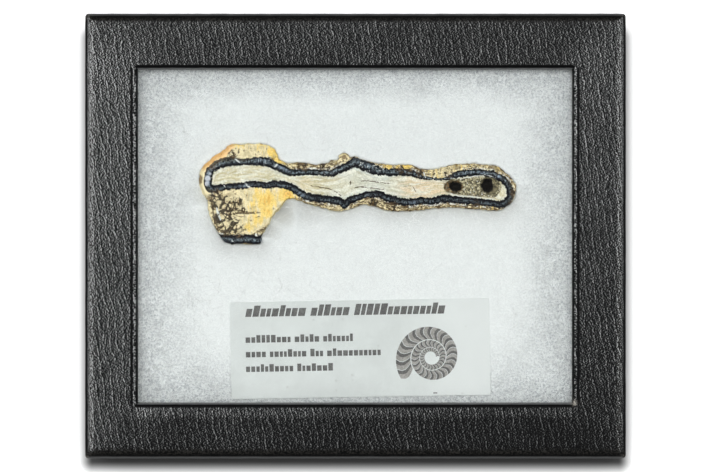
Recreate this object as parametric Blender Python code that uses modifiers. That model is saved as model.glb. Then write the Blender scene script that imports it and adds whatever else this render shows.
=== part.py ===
"""Fossil mammoth tooth slice in a glass-topped specimen case.

A sawn and polished slice through one plate of a mammoth molar lies in polyester batting, with a
card below it. The batting fills a shallow cardboard tray, and a lid with a pane of glass under
its window covers the tray down to its foot.

Frame: metres, +Z up out of the glass, +X along the case's long side. The origin is under the
middle of the case, on the surface that it stands on.
"""

import math

import bmesh
import bpy
from mathutils import Matrix, Vector, noise

MM = 0.001

# The case, outside. All sizes below are in millimetres.
CASE_WIDTH = 133.4
CASE_DEPTH = 109.8
CASE_HEIGHT = 19.0
BOARD = 1.6  # thickness of the paper-covered cardboard, in the lid and in the tray
LID_RIM_Z = 0.8  # the lid's rim stops this far above the surface
LID_TOP_EDGE_RADIUS = 1.8
LID_CORNER_RADIUS = 0.9
TRAY_EDGE_RADIUS = 0.5
SLIDING_GAP = 0.4  # between the lid's walls and the tray, on each side
GAP = 0.3  # between pieces that touch

# The window in the lid. Its edge slopes inwards on the way down to the glass.
WINDOW_TOP = (109.0, 84.2)
WINDOW_BOTTOM = (106.4, 82.5)
WINDOW_CENTRE = (-0.2, 0.2)

GLASS_THICKNESS = 2.0

# What lies under the glass.
CARD_SIZE = (64.2, 24.0)
CARD_THICKNESS = 0.3
CARD_CENTRE = (1.2, -27.8)
CARD_TILT_DEG = -1.0
TOOTH_THICKNESS = 6.0
BATTING_DIP = 1.5  # how far the batting sinks beside the tooth
BATTING_DIP_REACH = 4.0
BATTING_EDGE_DIP = 0.8  # how far it sinks at the tray's walls
BATTING_EDGE_REACH = 2.5
BATTING_CELL = 3.0
BATTING_CARD_DIP = 0.7  # the recess that the card lies in
POCKET_CLEARANCE = 0.9  # between the tooth and its pocket in the batting
POCKET_SMOOTHING = 2  # samples on each side that round the pocket's outline

# Heights of the stack, from the lid down.
LID_CEILING_Z = CASE_HEIGHT - BOARD
GLASS_TOP_Z = LID_CEILING_Z - GAP
GLASS_BOTTOM_Z = GLASS_TOP_Z - GLASS_THICKNESS
CONTENTS_TOP_Z = GLASS_BOTTOM_Z - GAP
TRAY_TOP_Z = CONTENTS_TOP_Z
TOOTH_TOP_Z = CONTENTS_TOP_Z
TOOTH_BOTTOM_Z = TOOTH_TOP_Z - TOOTH_THICKNESS
BATTING_TOP_Z = CONTENTS_TOP_Z - GAP
BATTING_BOTTOM_Z = BOARD + GAP

# The polished face of the tooth, as stretches of one closed outline that runs clockwise from the
# rounded left end, seen from above.
LEFT_END = [
    (-37.3, 12.4), (-37.4, 13.9), (-37.1, 15.5), (-36.1, 16.9), (-34.6, 18.0), (-33.1, 19.0),
    (-31.6, 20.2), (-30.6, 21.5), (-29.6, 22.1),
]  # fmt: skip
CEMENT_LUMP = [
    (-28.4, 22.3), (-26.9, 22.7), (-24.7, 22.8), (-22.7, 22.7), (-21.2, 22.3), (-20.2, 21.5),
    (-19.3, 20.3), (-19.0, 19.2), (-18.0, 18.4),
]  # fmt: skip
UPPER_EDGE = [
    (-16.2, 18.0), (-13.3, 18.2), (-9.8, 17.6), (-6.8, 18.0), (-6.1, 18.6), (-4.5, 18.9),
    (-4.0, 20.0), (-2.9, 20.6), (-1.8, 20.2), (-1.2, 19.4), (-0.1, 19.6), (2.1, 18.8),
    (4.8, 18.0), (9.1, 17.5), (13.5, 17.5), (16.2, 16.6), (18.7, 16.4), (20.5, 16.6),
    (22.4, 17.2), (24.4, 17.6), (28.4, 17.8), (32.6, 17.6),
]  # fmt: skip
FAR_END = [
    (34.6, 17.4), (36.1, 16.5), (37.4, 15.4), (38.6, 14.1), (39.4, 12.8), (39.6, 11.4),
    (39.3, 9.9), (38.6, 8.4), (37.3, 7.2), (35.6, 6.5),
]  # fmt: skip
LOWER_EDGE = [
    (33.4, 6.4), (27.9, 6.8), (21.9, 7.0), (16.5, 6.5), (11.5, 6.1), (8.8, 6.2), (6.8, 6.5),
    (5.3, 7.2), (3.6, 7.6), (1.6, 7.7), (-1.4, 6.7), (-2.9, 6.3), (-5.1, 6.2), (-8.8, 7.2),
    (-12.8, 8.4), (-15.2, 9.3),
]  # fmt: skip
ROOT_BLOCK = [
    (-17.2, 8.9), (-18.5, 7.5), (-19.8, 6.1), (-21.0, 4.3), (-21.7, 2.7), (-22.8, 1.1),
    (-23.4, -0.2), (-23.3, -1.7), (-24.9, -1.9), (-28.9, -1.9), (-30.4, -2.1), (-32.1, -1.5),
    (-33.2, -0.5), (-34.1, 1.2), (-35.0, 3.0), (-35.8, 4.7), (-36.3, 6.9), (-36.5, 9.2),
    (-37.0, 10.9),
]  # fmt: skip
OUTLINE_STEP = 0.85  # length of a facet along the tooth's outline

# The natural outside of the plate, down the slice's rough side: (depth below the face, spread).
SIDE_PROFILE = [(0.0, 0.0), (0.5, 0.2), (1.2, 0.3), (2.2, 0.35), (4.0, 0.3), (6.0, 0.1)]
SIDE_ROUGHNESS = 0.3
SIDE_LUMP_SIZE = 2.6
# Where the side slopes out from under the face: centre, reach and how far it comes out.
FLARES = [((-34.0, 20.0), 5.0, 1.8), ((-38.0, 13.5), 4.0, 1.1)]
FLARE_DEPTH = 2.2  # depth below the face at which a flare is all the way out
FLARE_BULGE = 0.7  # power that rounds its slope

# Pulp cavity: a sandy fill a little below the face, with two deep sockets left open in it.
PULP_OUTLINE = [
    (21.7, 12.0), (23.2, 13.9), (25.4, 14.1), (28.4, 14.5), (31.4, 14.7), (34.1, 14.2),
    (35.6, 13.1), (36.1, 11.7), (35.3, 10.3), (34.3, 9.5), (31.4, 9.6), (27.9, 9.9),
    (24.7, 10.3), (22.9, 11.0),
]  # fmt: skip
PULP_DEPTH = 0.35
# Each socket: centre, half width, half height and depth.
SOCKETS = [((24.3, 12.2), 2.0, 1.5, 4.6), ((33.0, 12.3), 1.6, 2.0, 4.9)]
SOCKET_FLOOR_SHARE = 0.55  # size of a socket's floor, as a share of its mouth

# Open cracks and vugs in the cement: centre, length, width, turn in degrees and depth.
VUGS = [
    ((-34.2, 3.1), 2.6, 1.5, -15, 1.1),
    ((-34.3, 6.2), 1.4, 2.6, 10, 0.8),
    ((-32.0, 8.2), 3.2, 0.8, -40, 0.7),
    ((-29.2, 6.4), 1.9, 1.1, -25, 0.7),
    ((-28.9, 21.1), 0.5, 1.3, 0, 0.9),
    ((-2.8, 19.4), 0.9, 0.9, 0, 0.5),
]


def paint(name, colour, roughness):
    """Returns a plain Principled material."""
    material = bpy.data.materials.new(name)
    material.use_nodes = True
    shader = material.node_tree.nodes["Principled BSDF"]
    shader.inputs["Base Color"].default_value = (*colour, 1.0)
    shader.inputs["Roughness"].default_value = roughness
    shader.inputs["Metallic"].default_value = 0.0
    return material


def add_object(name, bm, collection, material=None, location=(0.0, 0.0, 0.0)):
    """Turns a bmesh in millimetres into an object at a place that is also in millimetres."""
    bm.transform(Matrix.Scale(MM, 4))
    mesh = bpy.data.meshes.new(name)
    bm.to_mesh(mesh)
    bm.free()
    if material is not None:
        mesh.materials.append(material)
    obj = bpy.data.objects.new(name, mesh)
    obj.location = Vector(location) * MM
    collection.objects.link(obj)
    return obj


def as_cutter(obj):
    """Marks an object as a tool that only cuts."""
    obj.hide_render = True
    obj.display_type = "WIRE"
    return obj


def cut(obj, cutter):
    """Cuts one object from another."""
    modifier = obj.modifiers.new(f"cut_{cutter.name}", "BOOLEAN")
    modifier.operation = "DIFFERENCE"
    modifier.object = cutter


def box(width, depth, height):
    """A box standing on its own middle, as a bmesh."""
    bm = bmesh.new()
    bmesh.ops.create_cube(bm, size=1.0, matrix=Matrix.Diagonal((width, depth, height, 1.0)))
    return bm


def round_edges(obj, radius, segments, weight_of):
    """Rounds the box's edges. weight_of gives each edge's share of the radius from its two ends."""
    bm = bmesh.new()
    bm.from_mesh(obj.data)
    layer = bm.edges.layers.float.new("bevel_weight_edge")
    for edge in bm.edges:
        edge[layer] = weight_of(*(vert.co for vert in edge.verts))
    bm.to_mesh(obj.data)
    bm.free()
    bevel = obj.modifiers.new("round_edges", "BEVEL")
    bevel.limit_method = "WEIGHT"
    bevel.width = radius * MM
    bevel.segments = segments


def upright(a, b):
    """True where an edge between two corners runs along Z."""
    return abs(a.z - b.z) > MM


def smooth_closed_curve(points, step):
    """Samples a closed Catmull-Rom curve through the points at about one step apart."""
    vectors = [Vector((x, y, 0.0)) for x, y in points]
    count = len(vectors)
    samples = []
    for i in range(count):
        before, start, end, after = (vectors[(i + k) % count] for k in (-1, 0, 1, 2))
        pieces = max(1, round((end - start).length / step))
        for k in range(pieces):
            t = k / pieces
            samples.append(
                0.5
                * (
                    2.0 * start
                    + (end - before) * t
                    + (2.0 * before - 5.0 * start + 4.0 * end - after) * t**2
                    + (3.0 * start - before - 3.0 * end + after) * t**3
                )
            )
    return samples


def outward_normals(samples):
    """Unit normals that point away from an outline that runs clockwise."""
    count = len(samples)
    normals = []
    for i in range(count):
        along = samples[(i + 1) % count] - samples[i - 1]
        normals.append(Vector((-along.y, along.x, 0.0)).normalized())
    return normals


def loft(rings):
    """A closed solid through rings of equally many points, from the lowest to the highest."""
    bm = bmesh.new()
    levels = [[bm.verts.new(point) for point in ring] for ring in rings]
    count = len(rings[0])
    for lower, upper in zip(levels, levels[1:]):
        for i in range(count):
            j = (i + 1) % count
            bm.faces.new((lower[i], lower[j], upper[j], upper[i]))
    bm.faces.new(levels[0])
    bm.faces.new(levels[-1])
    bmesh.ops.triangulate(bm, faces=[face for face in bm.faces if len(face.verts) > 4])
    bmesh.ops.recalc_face_normals(bm, faces=bm.faces)
    return bm


def flat_prism(samples, z_low, z_high):
    """An upright prism over an outline."""
    return loft([[Vector((p.x, p.y, z)) for p in samples] for z in (z_low, z_high)])


def tooth_outline():
    """The outline of the polished face, as samples."""
    points = LEFT_END + CEMENT_LUMP + UPPER_EDGE + FAR_END + LOWER_EDGE + ROOT_BLOCK
    return smooth_closed_curve(points, OUTLINE_STEP)


def side_spread(point, depth, spread):
    """How far the rough side stands out from the face's outline, at a depth below the face."""
    out = min(1.0, depth / FLARE_DEPTH) ** FLARE_BULGE
    flare = sum(
        amount * math.exp(-(((point.xy - Vector(centre)).length / reach) ** 2))
        for centre, reach, amount in FLARES
    )
    lumps = noise.noise(Vector((point.x, point.y, depth)) / SIDE_LUMP_SIZE)
    return spread + flare * out + SIDE_ROUGHNESS * lumps * min(1.0, depth)


def make_lid(parts, cutters, leatherette):
    """The lid: four walls and a top with a window, one shell of paper-covered cardboard."""
    height = CASE_HEIGHT - LID_RIM_Z
    lid = add_object(
        "case_lid",
        box(CASE_WIDTH, CASE_DEPTH, height),
        parts,
        leatherette,
        (0.0, 0.0, LID_RIM_Z + height / 2),
    )

    def weight_of(a, b):
        if upright(a, b):
            return LID_CORNER_RADIUS / LID_TOP_EDGE_RADIUS
        return 1.0 if a.z > 0.0 else 0.0

    round_edges(lid, LID_TOP_EDGE_RADIUS, 4, weight_of)

    inside = box(CASE_WIDTH - 2 * BOARD, CASE_DEPTH - 2 * BOARD, LID_CEILING_Z)
    cut(lid, as_cutter(add_object("lid_inside", inside, cutters, location=(0, 0, LID_CEILING_Z / 2))))

    # The sloping sides of the window are carried on past both faces of the board.
    window = box(1.0, 1.0, 1.0)
    past = BOARD  # how far the cutter runs past the board on each side
    for vert in window.verts:
        side_x, side_y, side_z = (math.copysign(0.5, value) for value in vert.co)
        share = 0.5 + side_z * (BOARD + 2 * past) / BOARD
        vert.co = (
            side_x * (WINDOW_BOTTOM[0] + (WINDOW_TOP[0] - WINDOW_BOTTOM[0]) * share),
            side_y * (WINDOW_BOTTOM[1] + (WINDOW_TOP[1] - WINDOW_BOTTOM[1]) * share),
            side_z * (BOARD + 2 * past),
        )
    place = (*WINDOW_CENTRE, CASE_HEIGHT - BOARD / 2)
    cut(lid, as_cutter(add_object("lid_window", window, cutters, location=place)))
    return lid


def make_tray(parts, cutters, leatherette):
    """The tray that holds the contents: a floor and four walls."""
    width = CASE_WIDTH - 2 * (BOARD + SLIDING_GAP)
    depth = CASE_DEPTH - 2 * (BOARD + SLIDING_GAP)
    tray = add_object(
        "case_base", box(width, depth, TRAY_TOP_Z), parts, leatherette, (0, 0, TRAY_TOP_Z / 2)
    )
    round_edges(tray, TRAY_EDGE_RADIUS, 2, lambda a, b: 1.0 if upright(a, b) or a.z < 0.0 else 0.0)
    inside = box(width - 2 * BOARD, depth - 2 * BOARD, TRAY_TOP_Z)
    place = (0, 0, BOARD + TRAY_TOP_Z / 2)
    cut(tray, as_cutter(add_object("tray_inside", inside, cutters, location=place)))
    return tray


def make_glass(parts, glass):
    """The pane under the lid's window. It lies on the tray's walls."""
    width = CASE_WIDTH - 2 * (BOARD + SLIDING_GAP)
    depth = CASE_DEPTH - 2 * (BOARD + SLIDING_GAP)
    place = (0, 0, GLASS_BOTTOM_Z + GLASS_THICKNESS / 2)
    return add_object("glass_pane", box(width, depth, GLASS_THICKNESS), parts, glass, place)


def make_card(parts, paper):
    """The card under the tooth."""
    place = (*CARD_CENTRE, CONTENTS_TOP_Z - CARD_THICKNESS / 2)
    card = add_object("label_card", box(*CARD_SIZE, CARD_THICKNESS), parts, paper, place)
    card.rotation_euler.z = math.radians(CARD_TILT_DEG)
    return card


def make_tooth(parts, cutters, fossil):
    """The slice: flat sawn faces, a rough natural side, a sandy pulp cavity with two sockets."""
    outline = tooth_outline()
    normals = outward_normals(outline)
    rings = []
    for depth, spread in reversed(SIDE_PROFILE):
        ring = []
        for point, normal in zip(outline, normals):
            out = side_spread(point, depth, spread) if depth else 0.0
            ring.append(point + normal * out + Vector((0.0, 0.0, TOOTH_TOP_Z - depth)))
        rings.append(ring)
    tooth = add_object("tooth_slice", loft(rings), parts, fossil)

    pulp = smooth_closed_curve(PULP_OUTLINE, OUTLINE_STEP)
    recess = flat_prism(pulp, TOOTH_TOP_Z - PULP_DEPTH, TOOTH_TOP_Z + 1.0)
    cut(tooth, as_cutter(add_object("pulp_recess", recess, cutters)))

    for number, (centre, half_width, half_height, depth) in enumerate(SOCKETS, 1):
        socket = bmesh.new()
        bmesh.ops.create_cone(
            socket,
            cap_ends=True,
            segments=24,
            radius1=SOCKET_FLOOR_SHARE,
            radius2=1.0,
            depth=depth,
            matrix=Matrix.Diagonal((half_width, half_height, 1.0, 1.0)),
        )
        # The mouth stops just above the recess's floor, inside the recess.
        middle = TOOTH_TOP_Z - PULP_DEPTH / 2 - depth / 2
        place = (*centre, middle)
        cut(tooth, as_cutter(add_object(f"socket_{number}", socket, cutters, location=place)))

    vugs = bmesh.new()
    for centre, length, width, turn, depth in VUGS:
        place = Matrix.Translation((*centre, TOOTH_TOP_Z))
        spin = Matrix.Rotation(math.radians(turn), 4, "Z")
        scale = Matrix.Diagonal((length / 2, width / 2, depth, 1.0))
        bmesh.ops.create_uvsphere(
            vugs, u_segments=12, v_segments=8, radius=1.0, matrix=place @ spin @ scale
        )
    cut(tooth, as_cutter(add_object("vugs", vugs, cutters)))
    return tooth


def batting_height(x, y, outline):
    """Height of the batting's top: it sinks beside the tooth and at the tray's walls."""
    here = Vector((x, y, 0.0))
    from_tooth = min((point - here).length for point in outline)
    half_width = CASE_WIDTH / 2 - 2 * BOARD - SLIDING_GAP - GAP
    half_depth = CASE_DEPTH / 2 - 2 * BOARD - SLIDING_GAP - GAP
    from_wall = min(half_width - abs(x), half_depth - abs(y))
    return (
        BATTING_TOP_Z
        - BATTING_DIP * math.exp(-((from_tooth / BATTING_DIP_REACH) ** 2))
        - BATTING_EDGE_DIP * math.exp(-((from_wall / BATTING_EDGE_REACH) ** 2))
    )


def make_batting(parts, cutters, fibre):
    """The filling: a soft pad with a pocket for the tooth and a shallow recess for the card."""
    outline = tooth_outline()
    half_width = CASE_WIDTH / 2 - 2 * BOARD - SLIDING_GAP - GAP
    half_depth = CASE_DEPTH / 2 - 2 * BOARD - SLIDING_GAP - GAP
    pad = bmesh.new()
    bmesh.ops.create_grid(
        pad,
        x_segments=round(2 * half_width / BATTING_CELL),
        y_segments=round(2 * half_depth / BATTING_CELL),
        size=1.0,
        matrix=Matrix.Diagonal((half_width, half_depth, 1.0, 1.0)),
    )
    grown = bmesh.ops.extrude_face_region(pad, geom=pad.faces[:])["geom"]
    top = [item for item in grown if isinstance(item, bmesh.types.BMVert)]
    for vert in pad.verts:
        vert.co.z = BATTING_BOTTOM_Z
    for vert in top:
        vert.co.z = batting_height(vert.co.x, vert.co.y, outline)
    bmesh.ops.dissolve_limit(
        pad,
        angle_limit=math.radians(0.5),
        verts=[v for v in pad.verts if v.co.z < BATTING_BOTTOM_Z + GAP],
        edges=[e for e in pad.edges if all(v.co.z < BATTING_BOTTOM_Z + GAP for v in e.verts)],
    )
    bmesh.ops.recalc_face_normals(pad, faces=pad.faces)
    batting = add_object("batting", pad, parts, fibre)

    count = len(outline)
    window = range(-POCKET_SMOOTHING, POCKET_SMOOTHING + 1)
    smooth = [sum((outline[(i + k) % count] for k in window), Vector()) / len(window) for i in range(count)]
    pocket = []
    for point, normal in zip(smooth, outward_normals(smooth)):
        deepest = max(side_spread(point, depth, spread) for depth, spread in SIDE_PROFILE)
        pocket.append(point + normal * (POCKET_CLEARANCE + deepest))
    hole = flat_prism(pocket, TOOTH_BOTTOM_Z - GAP, CASE_HEIGHT)
    cut(batting, as_cutter(add_object("tooth_pocket", hole, cutters)))

    width, depth = (side + 4 * GAP for side in CARD_SIZE)
    recess = box(width, depth, CASE_HEIGHT)
    floor_z = CONTENTS_TOP_Z - CARD_THICKNESS - GAP
    recess_object = add_object(
        "card_recess", recess, cutters, location=(*CARD_CENTRE, floor_z + CASE_HEIGHT / 2)
    )
    recess_object.rotation_euler.z = math.radians(CARD_TILT_DEG)
    cut(batting, as_cutter(recess_object))
    return batting


def shade(obj):
    """Shades round faces smooth and keeps real edges sharp."""
    obj.data.shade_smooth()
    obj.data.set_sharp_from_angle(angle=math.radians(35))


def main():
    for obj in list(bpy.data.objects):
        bpy.data.objects.remove(obj)
    parts = bpy.data.collections.new("specimen_case")
    cutters = bpy.data.collections.new("cutters")
    for collection in (parts, cutters):
        bpy.context.scene.collection.children.link(collection)

    leatherette = paint("black_leatherette", (0.035, 0.037, 0.04), 0.5)
    made = [
        make_lid(parts, cutters, leatherette),
        make_tray(parts, cutters, leatherette),
        make_glass(parts, paint("clear_glass", (0.92, 0.96, 0.95), 0.03)),
        make_card(parts, paint("white_card", (0.8, 0.82, 0.81), 0.6)),
        make_tooth(parts, cutters, paint("fossil_tooth", (0.62, 0.54, 0.38), 0.35)),
        make_batting(parts, cutters, paint("polyester_batting", (0.78, 0.8, 0.8), 0.95)),
    ]
    for obj in made:
        shade(obj)


main()
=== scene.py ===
"""Looks of a fossil mammoth tooth slice that lies in batting in a glass-topped specimen case.

The case is black leather-grain paper over cardboard. Under the glass lie a polished slice through
one plate of a mammoth molar and a printed card, both bedded in loose white fibre.

Everything is worked out in millimetres in the case's own frame, with +X along its long side, +Z up
out of the glass and the origin under its middle, and is written to the meshes in metres.
"""

import logging
import math
from collections.abc import Callable
from dataclasses import dataclass, field
from enum import Enum
from functools import cached_property

import bmesh
import bpy
import numpy as np
from mathutils import Matrix, Vector, geometry, noise

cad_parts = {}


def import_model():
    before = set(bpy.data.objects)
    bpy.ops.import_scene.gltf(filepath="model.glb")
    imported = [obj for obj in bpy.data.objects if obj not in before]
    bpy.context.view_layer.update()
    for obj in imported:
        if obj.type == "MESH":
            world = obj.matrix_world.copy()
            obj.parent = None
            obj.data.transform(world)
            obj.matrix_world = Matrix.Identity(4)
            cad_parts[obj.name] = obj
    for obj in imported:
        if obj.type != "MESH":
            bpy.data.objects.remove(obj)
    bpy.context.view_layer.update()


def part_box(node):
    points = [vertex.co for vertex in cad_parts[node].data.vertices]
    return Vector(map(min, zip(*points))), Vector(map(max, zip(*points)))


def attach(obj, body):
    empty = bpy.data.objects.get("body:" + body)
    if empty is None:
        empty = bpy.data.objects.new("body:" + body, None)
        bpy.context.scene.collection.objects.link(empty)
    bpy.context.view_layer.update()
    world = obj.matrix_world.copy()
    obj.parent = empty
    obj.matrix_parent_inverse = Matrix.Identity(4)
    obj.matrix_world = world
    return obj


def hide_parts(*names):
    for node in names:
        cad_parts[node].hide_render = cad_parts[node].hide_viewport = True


LOG = logging.getLogger("specimen_case")
MM = 0.001
BODY = "root"

Array = np.ndarray
Material, Object = bpy.types.Material, bpy.types.Object
Pair = tuple[float, float]
Colour = Triple = tuple[float, float, float]

# ---- The tooth's polished face, in millimetres from the middle of the case, seen from above ----

# The closed outline of the face runs clockwise from the rounded left end.
LEFT_END = [
    (-37.3, 12.4), (-37.4, 13.9), (-37.1, 15.5), (-36.1, 16.9), (-34.6, 18.0), (-33.1, 19.0),
    (-31.6, 20.2), (-30.6, 21.5), (-29.6, 22.1),
]  # fmt: skip
CEMENT_LUMP = [
    (-28.4, 22.3), (-26.9, 22.7), (-24.7, 22.8), (-22.7, 22.7), (-21.2, 22.3), (-20.2, 21.5),
    (-19.3, 20.3), (-19.0, 19.2), (-18.0, 18.4),
]  # fmt: skip
UPPER_EDGE = [
    (-16.2, 18.0), (-13.3, 18.2), (-9.8, 17.6), (-6.8, 18.0), (-6.1, 18.6), (-4.5, 18.9),
    (-4.0, 20.0), (-2.9, 20.6), (-1.8, 20.2), (-1.2, 19.4), (-0.1, 19.6), (2.1, 18.8),
    (4.8, 18.0), (9.1, 17.5), (13.5, 17.5), (16.2, 16.6), (18.7, 16.4), (20.5, 16.6),
    (22.4, 17.2), (24.4, 17.6), (28.4, 17.8), (32.6, 17.6),
]  # fmt: skip
FAR_END = [
    (34.6, 17.4), (36.1, 16.5), (37.4, 15.4), (38.6, 14.1), (39.4, 12.8), (39.6, 11.4),
    (39.3, 9.9), (38.6, 8.4), (37.3, 7.2), (35.6, 6.5),
]  # fmt: skip
LOWER_EDGE = [
    (33.4, 6.4), (27.9, 6.8), (21.9, 7.0), (16.5, 6.5), (11.5, 6.1), (8.8, 6.2), (6.8, 6.5),
    (5.3, 7.2), (3.6, 7.6), (1.6, 7.7), (-1.4, 6.7), (-2.9, 6.3), (-5.1, 6.2), (-8.8, 7.2),
    (-12.8, 8.4), (-15.2, 9.3),
]  # fmt: skip
ROOT_BLOCK = [
    (-17.2, 8.9), (-18.5, 7.5), (-19.8, 6.1), (-21.0, 4.3), (-21.7, 2.7), (-22.8, 1.1),
    (-23.4, -0.2), (-23.3, -1.7), (-24.9, -1.9), (-28.9, -1.9), (-30.4, -2.1), (-32.1, -1.5),
    (-33.2, -0.5), (-34.1, 1.2), (-35.0, 3.0), (-35.8, 4.7), (-36.3, 6.9), (-36.5, 9.2),
    (-37.0, 10.9),
]  # fmt: skip

# The enamel's closed loop, as (x, y, half of its thickness) along its middle.
ENAMEL_UPPER = [
    (-36.2, 12.4, 0.85), (-36.4, 13.9, 0.95), (-36.2, 15.4, 1.0), (-35.4, 16.6, 1.0),
    (-34.3, 17.4, 1.1), (-32.9, 18.0, 1.15), (-30.9, 18.2, 1.05), (-28.4, 18.3, 0.85),
    (-25.9, 18.3, 0.9), (-23.7, 18.5, 1.15), (-22.2, 18.3, 1.2), (-21.0, 17.9, 1.1),
    (-19.7, 17.2, 1.0), (-18.2, 16.6, 0.95), (-16.7, 15.9, 0.9), (-15.3, 15.6, 0.85),
    (-10.8, 15.7, 0.75), (-6.1, 15.5, 0.8), (-4.8, 16.0, 0.9), (-1.6, 17.4, 1.0),
    (-0.1, 18.2, 1.2), (1.1, 17.85, 1.25), (4.1, 16.6, 1.3), (5.8, 16.0, 1.1), (7.8, 15.7, 0.9),
    (10.0, 15.8, 0.95), (13.8, 15.5, 0.75), (15.3, 14.9, 0.7), (17.0, 14.4, 0.45),
    (19.0, 14.1, 0.3), (21.2, 14.0, 0.3), (23.2, 14.4, 0.5), (24.7, 14.9, 0.8),
    (26.2, 15.4, 0.9), (28.4, 15.6, 0.85), (33.1, 15.4, 0.85), (34.8, 14.8, 0.85),
]  # fmt: skip
ENAMEL_LOWER = [
    (36.5, 13.8, 0.85), (37.6, 12.6, 0.85), (38.1, 11.3, 0.85), (38.1, 9.8, 0.9),
    (37.3, 8.6, 0.95), (36.0, 7.8, 0.9), (31.9, 8.3, 0.85), (26.7, 8.8, 0.9), (22.2, 9.2, 0.95),
    (20.2, 8.9, 0.95), (18.5, 8.6, 0.85), (16.5, 8.8, 0.85), (13.3, 8.3, 0.9), (11.5, 8.5, 0.95),
    (7.6, 9.5, 0.85), (6.1, 10.2, 0.8), (4.3, 10.3, 0.8), (2.4, 10.1, 0.8), (-1.1, 9.0, 0.9),
    (-2.1, 8.2, 0.9), (-2.7, 7.3, 0.66), (-3.3, 8.1, 0.9), (-4.6, 8.7, 1.0), (-9.3, 9.3, 0.95),
    (-11.3, 9.6, 0.95), (-12.8, 10.1, 0.95), (-14.0, 10.8, 0.95), (-15.1, 11.6, 0.95),
    (-16.5, 12.3, 0.95), (-18.2, 12.7, 0.9), (-20.0, 12.9, 0.9), (-21.7, 12.5, 0.85),
    (-23.7, 12.7, 0.8), (-26.2, 12.7, 0.8), (-28.6, 12.3, 0.8), (-31.4, 12.2, 0.8),
    (-35.2, 11.6, 0.85),
]  # fmt: skip
# The piece of the next plate's enamel along the foot of the root block.
ENAMEL_FRAGMENT = [
    (-34.6, -0.1, 0.7), (-32.6, -0.7, 1.0), (-30.4, -0.9, 1.15), (-27.4, -0.7, 1.1),
    (-24.6, -0.9, 1.05), (-22.6, -0.8, 1.0),
]  # fmt: skip

PULP_OUTLINE = [
    (21.7, 12.0), (23.2, 13.9), (25.4, 14.1), (28.4, 14.5), (31.4, 14.7), (34.1, 14.2),
    (35.6, 13.1), (36.1, 11.7), (35.3, 10.3), (34.3, 9.5), (31.4, 9.6), (27.9, 9.9),
    (24.7, 10.3), (22.9, 11.0),
]  # fmt: skip


class CrackKind(Enum):
    """What a line across the polished face is filled with, by the name that the mesh gives it."""

    DARK = "dark_crack"
    PALE = "pale_crack"


NODULE = (-2.85, 19.45)
# The thin lines in the face, each as its width and the points that it runs through.
CRACKS = {
    CrackKind.DARK: [
        (0.66, [(-31.2, 5.4), (-28.6, 5.7), (-26.6, 5.7), (-23.4, 5.8)]),
        (0.4, [(-35.6, 10.5), (-35.4, 7.9), (-35.1, 5.4), (-34.4, 3.1), (-33.0, 0.7)]),
        (0.04, [(-30.8, 4.9), (-28.0, 4.8), (-25.0, 4.7), (-22.9, 4.8)]),
        (0.6, [(-28.8, 21.6), (-28.8, 20.3)]),
        (0.35, [(-29.6, 21.6), (-31.2, 20.6), (-30.9, 19.6), (-29.6, 19.3)]),
        (0.3, [(-30.4, 20.8), (-29.7, 20.2), (-30.1, 19.7)]),
        (0.25, [(-37.3, 15.2), (-36.0, 16.9), (-34.2, 18.2), (-31.6, 19.7), (-30.4, 21.4)]),
        (0.4, [(-1.2, 13.7), (-1.3, 12.6)]),
        (0.2, [(1.4, 13.5), (3.4, 13.6), (6.0, 13.2), (8.6, 13.0)]),
        (0.1, [(-1.1, 11.4), (0.7, 12.1), (3.7, 11.8), (6.9, 11.5)]),
        (0.08, [(-11.3, 12.5), (-6.8, 11.7), (-5.0, 11.0), (-3.6, 9.9)]),
        (0.06, [(12.0, 12.2), (13.8, 12.4), (15.0, 11.0)]),
        (0.75, [(6.9, 8.2), (8.4, 7.9), (9.8, 7.7)]),
        (0.35, [(29.6, 14.6), (29.7, 14.5)]),
    ],
    CrackKind.PALE: [
        (0.34, [(-29.6, 19.0), (-29.0, 18.5), (-28.6, 18.0)]),
        (0.42, [(-19.4, 17.8), (-19.9, 17.1)]),
        (0.4, [(-27.3, 13.1), (-26.7, 12.6), (-26.2, 12.1)]),
        (0.2, [(-32.5, 12.6), (-32.1, 12.0)]),
        (0.08, [(0.0, 18.2), (-0.6, 17.2)]),
        (0.08, [(-30.8, -0.4), (-29.9, -1.7)]),
        (0.6, [(-34.3, 7.0), (-33.9, 5.4), (-33.3, 3.9)]),
        (0.3, [(16.9, 15.8), (17.2, 14.3)]),
        (0.16, [(23.6, 14.2), (27.4, 14.4), (31.6, 15.0), (34.6, 14.4)]),
        (0.16, [(23.0, 10.7), (25.4, 9.9), (28.6, 9.7), (34.4, 9.0)]),
    ],
}

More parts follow.
